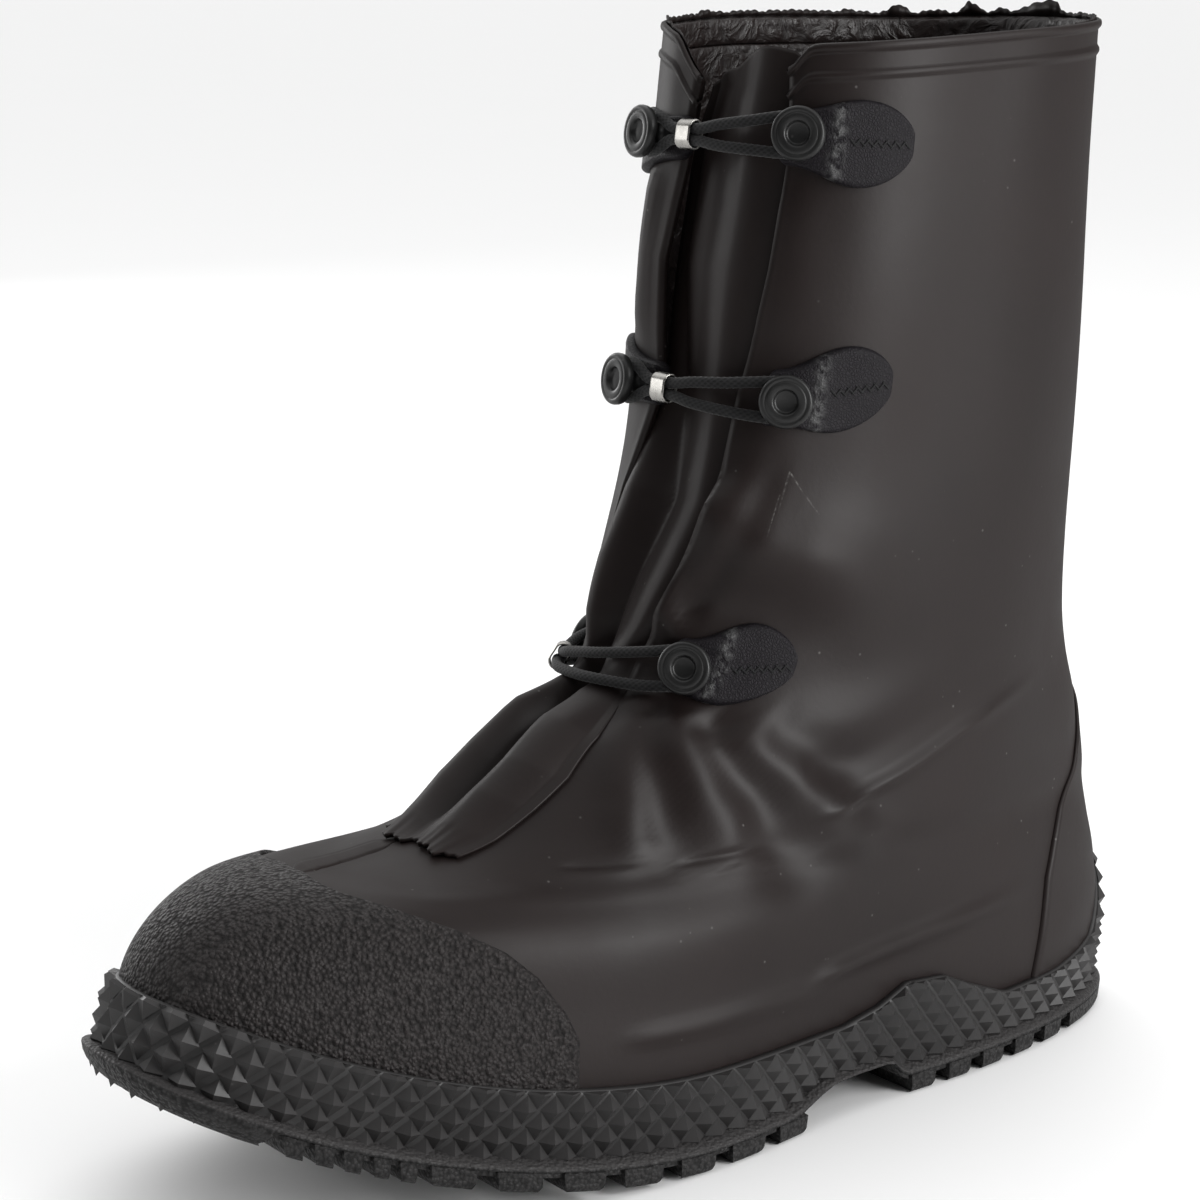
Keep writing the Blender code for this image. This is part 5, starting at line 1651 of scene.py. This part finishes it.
def make_button(seat):
    """Turned button: rimmed, dished head on a neck that flares onto its tab."""
    place = seat_frame(seat.level, seat.angle, TAB_SEAT + GAP + TAB_THICKNESS)
    top = NECK_HEIGHT + HEAD_HEIGHT
    profile = [(radius, top + height) for radius, height in BUTTON_HEAD] + list(BUTTON_NECK)
    points = []
    for radius, height in profile:
        for a in np.linspace(0, 2 * math.pi, BUTTON_SIDES, endpoint=False):
            points.append(tuple(place @ Vector((radius * math.cos(a), radius * math.sin(a), height))))
    faces = grid_faces(len(profile), BUTTON_SIDES, closed=True)
    faces.append(tuple(range(BUTTON_SIDES)))
    faces.append(tuple(reversed(range(len(points) - BUTTON_SIDES, len(points)))))
    closed_piece(f"button_{seat.name}_turned", points, faces, "button plastic", "button_plastic",
                 "button_" + seat.name)


# Power of the bow between two buttons, and steps of the route around a neck and between two points
BOW_POWER = 3
WRAP_STEPS = 9
CURVE_STEPS = 24

# Strands of a loop between its near button and its ferrule: share of that way, and how far they stand apart
LOOP_STATIONS = ((0.22, 0.9), (0.52, 0.62), (0.82, 0.34))
FAN_SHARE, FAN_SPREAD = 0.5, 0.7

# Braid: points around and steps along a loop, strands, pitch, depth, and how the relief is weighed
LOOP_SIDES = 28
LOOP_STEP = 0.32
BRAID_STRANDS = 14
BRAID_PITCH = 1.9
BRAID_DEPTH = 0.2
BRAID_MIDDLE = 0.7
BRAID_CROSS = 0.7
# Part of the braid's relief that is darkened as painted shade in its grooves
WEAVE_FROM, WEAVE_RUN = 0.35, 0.6


def strand_frame(closure, share):
    """Frame midway between the strands of a loop at a share of the way between its buttons."""
    angle = math.radians(closure.near_angle + (closure.far_angle - closure.near_angle) * share)
    level = closure.near_level + (closure.far_level - closure.near_level) * share
    lift = closure.bow * (1 - abs(2 * share - 1) ** BOW_POWER)
    return seat_frame(level, angle, TAB_SEAT + GAP + TAB_THICKNESS + NECK_HEIGHT / 2 + lift)


def ferrule_shares(closure):
    """Shares of the way at the two ends of the ferrule."""
    length = (strand_frame(closure, 0.0).translation - strand_frame(closure, 1.0).translation).length
    half = FERRULE_LENGTH / 2 / length
    return closure.ferrule - half, closure.ferrule + half


def loop_route(closure):
    """Closed route of a loop: around both button necks and pinched at the ferrule."""
    bend = NECK_RADIUS + GAP + CORD_DIAMETER / 2
    pinch = CORD_DIAMETER / 2 + GAP / 2
    first, last = ferrule_shares(closure)
    stations = [(share * first, spread) for share, spread in LOOP_STATIONS]
    stations += [(first, 0.0), (closure.ferrule, 0.0), (last, 0.0)]
    stations.append((last + (1 - last) * FAN_SHARE, FAN_SPREAD))
    upper, lower = [], []
    for share, spread in stations:
        place = strand_frame(closure, share)
        half = pinch + (bend - pinch) * spread
        upper.append(place @ Vector((0.0, half, 0.0)))
        lower.append(place @ Vector((0.0, -half, 0.0)))
    wraps = []
    for share, away in ((0.0, 1), (1.0, -1)):
        place = strand_frame(closure, share)
        turns = np.linspace(math.pi / 2, -math.pi / 2, WRAP_STEPS)
        wraps.append([place @ (Vector((away * math.cos(a), math.sin(a), 0.0)) * bend) for a in turns])
    return np.array([tuple(p) for p in wraps[0] + lower + wraps[1][::-1] + upper[::-1]])


def closed_curve(points, step):
    """Smooth closed curve through points, in even steps, and its length."""
    before, after, later = np.roll(points, 1, 0), np.roll(points, -1, 0), np.roll(points, -2, 0)
    dense = []
    for t in np.linspace(0, 1, CURVE_STEPS, endpoint=False):
        bend = (2 * before - 5 * points + 4 * after - later) * t ** 2
        twist = (3 * points - before - 3 * after + later) * t ** 3
        dense.append(0.5 * (2 * points + (after - before) * t + bend + twist))
    dense = np.stack(dense, axis=1).reshape(-1, 3)
    closing = np.concatenate([dense, dense[:1]])
    length = lengths_along(closing)
    count = round(length[-1] / step)
    at = np.arange(count) * length[-1] / count
    return np.stack([np.interp(at, length, closing[:, k]) for k in range(3)], axis=1), length[-1]


def make_loop(closure):
    """Elastic loop with its braid."""
    path, length = closed_curve(loop_route(closure), LOOP_STEP)
    count = len(path)
    run = normalised(np.roll(path, -1, 0) - np.roll(path, 1, 0))
    side = normalised(np.cross(run, strand_frame(closure, 0.5).col[2].to_3d()))
    up = np.cross(side, run)
    turn = np.linspace(0, 2 * math.pi, LOOP_SIDES, endpoint=False)
    phase = np.arange(count)[:, None] / count * round(length / BRAID_PITCH)
    strand = turn * BRAID_STRANDS / (2 * math.pi) / 2
    left = np.abs(np.sin(math.pi * (strand + phase)))
    right = np.abs(np.sin(math.pi * (strand - phase)))
    weave = np.maximum(left, right) ** 2 * BRAID_CROSS + np.minimum(left, right) * (1 - BRAID_CROSS)
    radius = (CORD_DIAMETER / 2 + BRAID_DEPTH * (weave - BRAID_MIDDLE))[..., None]
    round_about = np.cos(turn)[:, None] * side[:, None, :] + np.sin(turn)[:, None] * up[:, None, :]
    faces = grid_faces(count, LOOP_SIDES, closed=True, wrapped=True)
    # The weave values mark the braid's grooves, where the elastic is darkened with painted shade.
    closed_piece(f"loop_{closure.name}_braid", path[:, None, :] + radius * round_about, faces,
                 "braided elastic", "elastic", "loop_" + closure.name,
                 weave=np.clip((weave - WEAVE_FROM) / WEAVE_RUN, 0, 1))


# Ferrule: points around, wall, clearance around the strands, growth at its ends, edges and crimps
FERRULE_SIDES = 40
FERRULE_WALL = 0.5
FERRULE_FIT = 1.5 * GAP
FERRULE_ENDS = (0.05, 0.42)
FERRULE_EDGE = 0.4
CRIMP_ROWS, CRIMP_DEPTH, CRIMP_PITCH = 15, 0.16, 4.2


def stadium(half_long, half_short):
    """Closed outline with straight sides and round ends."""
    turn = np.linspace(0, 2 * math.pi, FERRULE_SIDES, endpoint=False)
    across = half_short * np.cos(turn) + (half_long - half_short) * np.sign(np.cos(turn))
    return np.stack([across, half_short * np.sin(turn)], axis=1)


def make_ferrule(closure):
    """Crimped metal sleeve around the two strands of a loop."""
    first, last = ferrule_shares(closure)
    seat = strand_frame(closure, closure.ferrule)
    run = (strand_frame(closure, last).translation - strand_frame(closure, first).translation).normalized()
    up = seat.col[1].to_3d()
    up = (up - up.dot(run) * run).normalized()
    place = Matrix((up, run.cross(up), run)).transposed().to_4x4()
    place.translation = seat.translation
    half = FERRULE_LENGTH / 2
    stations = [(-half, grow) for grow in FERRULE_ENDS]
    for at in np.linspace(FERRULE_EDGE - half, half - FERRULE_EDGE, CRIMP_ROWS):
        stations.append((at, FERRULE_WALL + CRIMP_DEPTH * math.sin(at * CRIMP_PITCH) ** 2))
    stations += [(half, grow) for grow in reversed(FERRULE_ENDS)]
    points = []
    for at, grow in stations:
        grow += FERRULE_FIT
        for x, y in stadium(CORD_DIAMETER + grow, CORD_DIAMETER / 2 + grow):
            points.append(tuple(place @ Vector((x, y, at))))
    faces = grid_faces(len(stations), FERRULE_SIDES, closed=True, wrapped=True)
    closed_piece(f"ferrule_{closure.name}_sleeve", points, faces, "plated steel", "ferrule_metal",
                 "ferrule_" + closure.name)


# Stage

def make_camera():
    """Camera where the picture was taken from."""
    azimuth, yaw, pitch = (math.radians(a) for a in (CAMERA_AZIMUTH, CAMERA_YAW, CAMERA_PITCH))
    place = (CAMERA_DISTANCE * math.sin(azimuth), -CAMERA_DISTANCE * math.cos(azimuth), CAMERA_HEIGHT)
    ahead = Vector((-math.sin(yaw) * math.cos(pitch), math.cos(yaw) * math.cos(pitch), -math.sin(pitch)))
    right = ahead.cross(Vector((0.0, 0.0, 1.0))).normalized()
    matrix = Matrix((right, right.cross(ahead), -ahead)).transposed().to_4x4()
    matrix.translation = Vector(placed(place))
    data = bpy.data.cameras.new("photo_camera")
    data.sensor_width = SENSOR
    data.lens = SENSOR * FOCAL_PIXELS / FRAME_PIXELS
    data.clip_start, data.clip_end = CAMERA_CLIP
    camera = linked("photo_camera", data)
    camera.matrix_world = matrix
    bpy.context.scene.camera = camera


# Soft lamps: place and aim in metres, size and share of the power
Lamp = namedtuple("Lamp", "name place aim size share")
LAMPS = [
    Lamp("side", (2.0, 0.85, 0.42), (0.0, 0.02, 0.13), 0.9, 0.8),
    Lamp("high", (1.5, 0.75, 1.15), (0.0, 0.0, 0.1), 0.8, 0.35),
    Lamp("inner", (-2.0, 0.0, 0.5), (0.0, 0.0, 0.17), 0.7, 0.2),
    Lamp("front", (-1.5, -1.3, 0.6), (0.0, 0.0, 0.15), 0.8, 0.15),
]

# Soft boxes of the surround: direction, cosines of the angles where each begins and is full, brightness
Glow = namedtuple("Glow", "toward begin full strength")
GLOWS = [
    Glow((-0.2, 0.1, 1.0), 0.30, 0.95, 1.35),
    Glow((-0.75, 0.40, 0.40), 0.68, 0.96, 0.80),
]


def make_lamps(settings):
    """Soft round lamps."""
    for lamp in LAMPS:
        data = bpy.data.lights.new(lamp.name, "AREA")
        data.shape = "DISK"
        data.size = lamp.size
        data.energy = settings.lamp_power * lamp.share
        turn = (Vector(lamp.aim) - Vector(lamp.place)).to_track_quat("-Z", "Y")
        linked(lamp.name, data).matrix_world = Matrix.Translation(lamp.place) @ turn.to_matrix().to_4x4()


def make_surround(settings):
    """Pale surround with its soft boxes, and a white backdrop where it is seen."""
    world = bpy.data.worlds.new("soft surround")
    world.use_nodes = True
    tree = Tree(world.node_tree)
    toward = tree.add("ShaderNodeTexCoord").outputs["Generated"]
    total = settings.surround
    for glow in GLOWS:
        facing = tree.vector("DOT_PRODUCT", toward, tuple(Vector(glow.toward).normalized()))
        share = tree.remap(facing, glow.begin, glow.full, interpolation_type="SMOOTHSTEP")
        total = tree.math("ADD", tree.math("MULTIPLY", share, glow.strength), total)
    seen = tree.add("ShaderNodeLightPath").outputs["Is Camera Ray"]
    total = tree.math("MAXIMUM", total, tree.math("MULTIPLY", seen, settings.backdrop))
    background = world.node_tree.nodes["Background"].inputs
    tree.feed(background["Strength"], total)
    background["Color"].default_value = (1.0, 1.0, 1.0, 1.0)
    bpy.context.scene.world = world
    bpy.context.scene.view_settings.view_transform = "Standard"


def make_floor():
    """Wide pale floor."""
    half = FLOOR_HALF / MM
    corners = [(-half, -half, 0.0), (half, -half, 0.0), (half, half, 0.0), (-half, half, 0.0)]
    mesh_object("floor", corners, [(0, 1, 2, 3)], "pale floor", smooth_faces=False)


# Add-on

def colour_setting(name, about, default):
    """Colour that a user would change."""
    return bpy.props.FloatVectorProperty(
        name=name, description=about, subtype="COLOR", size=3, min=0, max=1, default=default)


def length_setting(name, about, default, low, high):
    """Length that a user would change."""
    return bpy.props.FloatProperty(
        name=name, description=about, unit="LENGTH", min=low, max=high, default=default)


class OverbootSettings(bpy.types.PropertyGroup):
    """Sizes and colours of the overboot that a user would change."""

    rubber_colour: colour_setting("Rubber", "Colour of the upper's rubber", (0.0094, 0.0064, 0.0060))
    rubber_roughness: bpy.props.FloatProperty(
        name="Rubber roughness", description="Middle roughness of the upper's rubber", subtype="FACTOR",
        min=0.05, max=1, default=0.44)
    cap_colour: colour_setting("Toe cap", "Colour of the toe cap", (0.0125, 0.0102, 0.0100))
    sole_colour: colour_setting("Sole", "Colour of foxing and outsole", (0.0100, 0.0094, 0.0094))
    tab_colour: colour_setting("Tabs", "Colour of the closure tabs", (0.0058, 0.0046, 0.0062))
    button_colour: colour_setting("Buttons", "Colour of the buttons", (0.008, 0.008, 0.008))
    elastic_colour: colour_setting("Elastic", "Colour of loops and threads", (0.0055, 0.0055, 0.0058))
    metal_colour: colour_setting("Ferrules", "Colour of the ferrules", (0.36, 0.35, 0.33))
    knurl_width: length_setting("Knurl width", "Width of one knurl pyramid", 0.0082, 0.004, 0.02)
    knurl_height: length_setting("Knurl height", "Height of one knurl pyramid", 0.0088, 0.004, 0.02)
    knurl_depth: length_setting("Knurl depth", "How far a knurl pyramid stands out", 0.0026, 0.0005, 0.004)
    stitch_length: length_setting("Stitch length", "Length of one stitch on a tab", 0.0031, 0.001, 0.006)
    floor_colour: colour_setting("Floor", "Colour of the floor", (0.89, 0.89, 0.89))
    lamp_power: bpy.props.FloatProperty(
        name="Lamp power", description="Power that the lamps share", unit="POWER", min=0, default=48.0)
    backdrop: bpy.props.FloatProperty(
        name="Backdrop", description="Brightness of the surround where it is seen", min=0, default=0.97)
    surround: bpy.props.FloatProperty(
        name="Surround", description="Brightness of the plain part of the surround", min=0, default=0.10)


class OVERBOOT_OT_stage(bpy.types.Operator):
    """Make the floor, the lamps, the surround and the camera"""

    bl_idname = "overboot.stage"
    bl_label = "Stage"

    def execute(self, context):
        make_floor()
        make_lamps(context.scene.overboot)
        make_surround(context.scene.overboot)
        make_camera()
        return {"FINISHED"}


class OVERBOOT_OT_upper(bpy.types.Operator):
    """Make the hollow upper with its collar, rim flash and vamp seam"""

    bl_idname = "overboot.upper"
    bl_label = "Upper"

    def execute(self, context):
        make_upper()
        make_rim_flash()
        make_vamp_seam()
        return {"FINISHED"}


class OVERBOOT_OT_gusset(bpy.types.Operator):
    """Make the pleated gusset"""

    bl_idname = "overboot.gusset"
    bl_label = "Gusset"

    def execute(self, context):
        make_gusset()
        return {"FINISHED"}


class OVERBOOT_OT_overlays(bpy.types.Operator):
    """Make the toe cap and the heel counter"""

    bl_idname = "overboot.overlays"
    bl_label = "Toe cap and heel counter"

    def execute(self, context):
        for overlay in OVERLAYS:
            make_overlay(overlay)
        return {"FINISHED"}


class OVERBOOT_OT_foxing(bpy.types.Operator):
    """Make the foxing band and its knurl"""

    bl_idname = "overboot.foxing"
    bl_label = "Foxing"

    def execute(self, context):
        make_foxing()
        make_knurl()
        return {"FINISHED"}


class OVERBOOT_OT_outsole(bpy.types.Operator):
    """Make the outsole with its lugs"""

    bl_idname = "overboot.outsole"
    bl_label = "Outsole"

    def execute(self, context):
        make_outsole()
        return {"FINISHED"}


class OVERBOOT_OT_tabs(bpy.types.Operator):
    """Make the closure tabs and their stitches"""

    bl_idname = "overboot.tabs"
    bl_label = "Tabs"

    def execute(self, context):
        for seat in button_seats():
            make_tab(seat)
        make_stitches()
        return {"FINISHED"}


class OVERBOOT_OT_buttons(bpy.types.Operator):
    """Make the buttons"""

    bl_idname = "overboot.buttons"
    bl_label = "Buttons"

    def execute(self, context):
        for seat in button_seats():
            make_button(seat)
        return {"FINISHED"}


class OVERBOOT_OT_loops(bpy.types.Operator):
    """Make the elastic loops and their ferrules"""

    bl_idname = "overboot.loops"
    bl_label = "Loops and ferrules"

    def execute(self, context):
        for closure in CLOSURES:
            make_loop(closure)
            make_ferrule(closure)
        return {"FINISHED"}


class OVERBOOT_PT_sidebar(bpy.types.Panel):
    """Lists the settings and the steps of the overboot"""

    bl_idname = "OVERBOOT_PT_sidebar"
    bl_label = "Overboot"
    bl_space_type = "VIEW_3D"
    bl_region_type = "UI"
    bl_category = "Overboot"

    def draw(self, context):
        for name in OverbootSettings.__annotations__:
            self.layout.prop(context.scene.overboot, name)
        for step in STEPS:
            self.layout.operator(step.bl_idname)


STEPS = (
    OVERBOOT_OT_stage, OVERBOOT_OT_upper, OVERBOOT_OT_gusset, OVERBOOT_OT_overlays, OVERBOOT_OT_foxing,
    OVERBOOT_OT_outsole, OVERBOOT_OT_tabs, OVERBOOT_OT_buttons, OVERBOOT_OT_loops,
)
CLASSES = (OverbootSettings, *STEPS, OVERBOOT_PT_sidebar)


def register():
    for item in CLASSES:
        bpy.utils.register_class(item)
    bpy.types.Scene.overboot = bpy.props.PointerProperty(type=OverbootSettings)


def unregister():
    del bpy.types.Scene.overboot
    for item in reversed(CLASSES):
        bpy.utils.unregister_class(item)


def main():
    register()
    bpy.ops.overboot.stage()
    bpy.ops.overboot.upper()
    bpy.ops.overboot.gusset()
    bpy.ops.overboot.overlays()
    bpy.ops.overboot.foxing()
    bpy.ops.overboot.outsole()
    bpy.ops.overboot.tabs()
    bpy.ops.overboot.buttons()
    bpy.ops.overboot.loops()


if __name__ == "__main__":
    main()
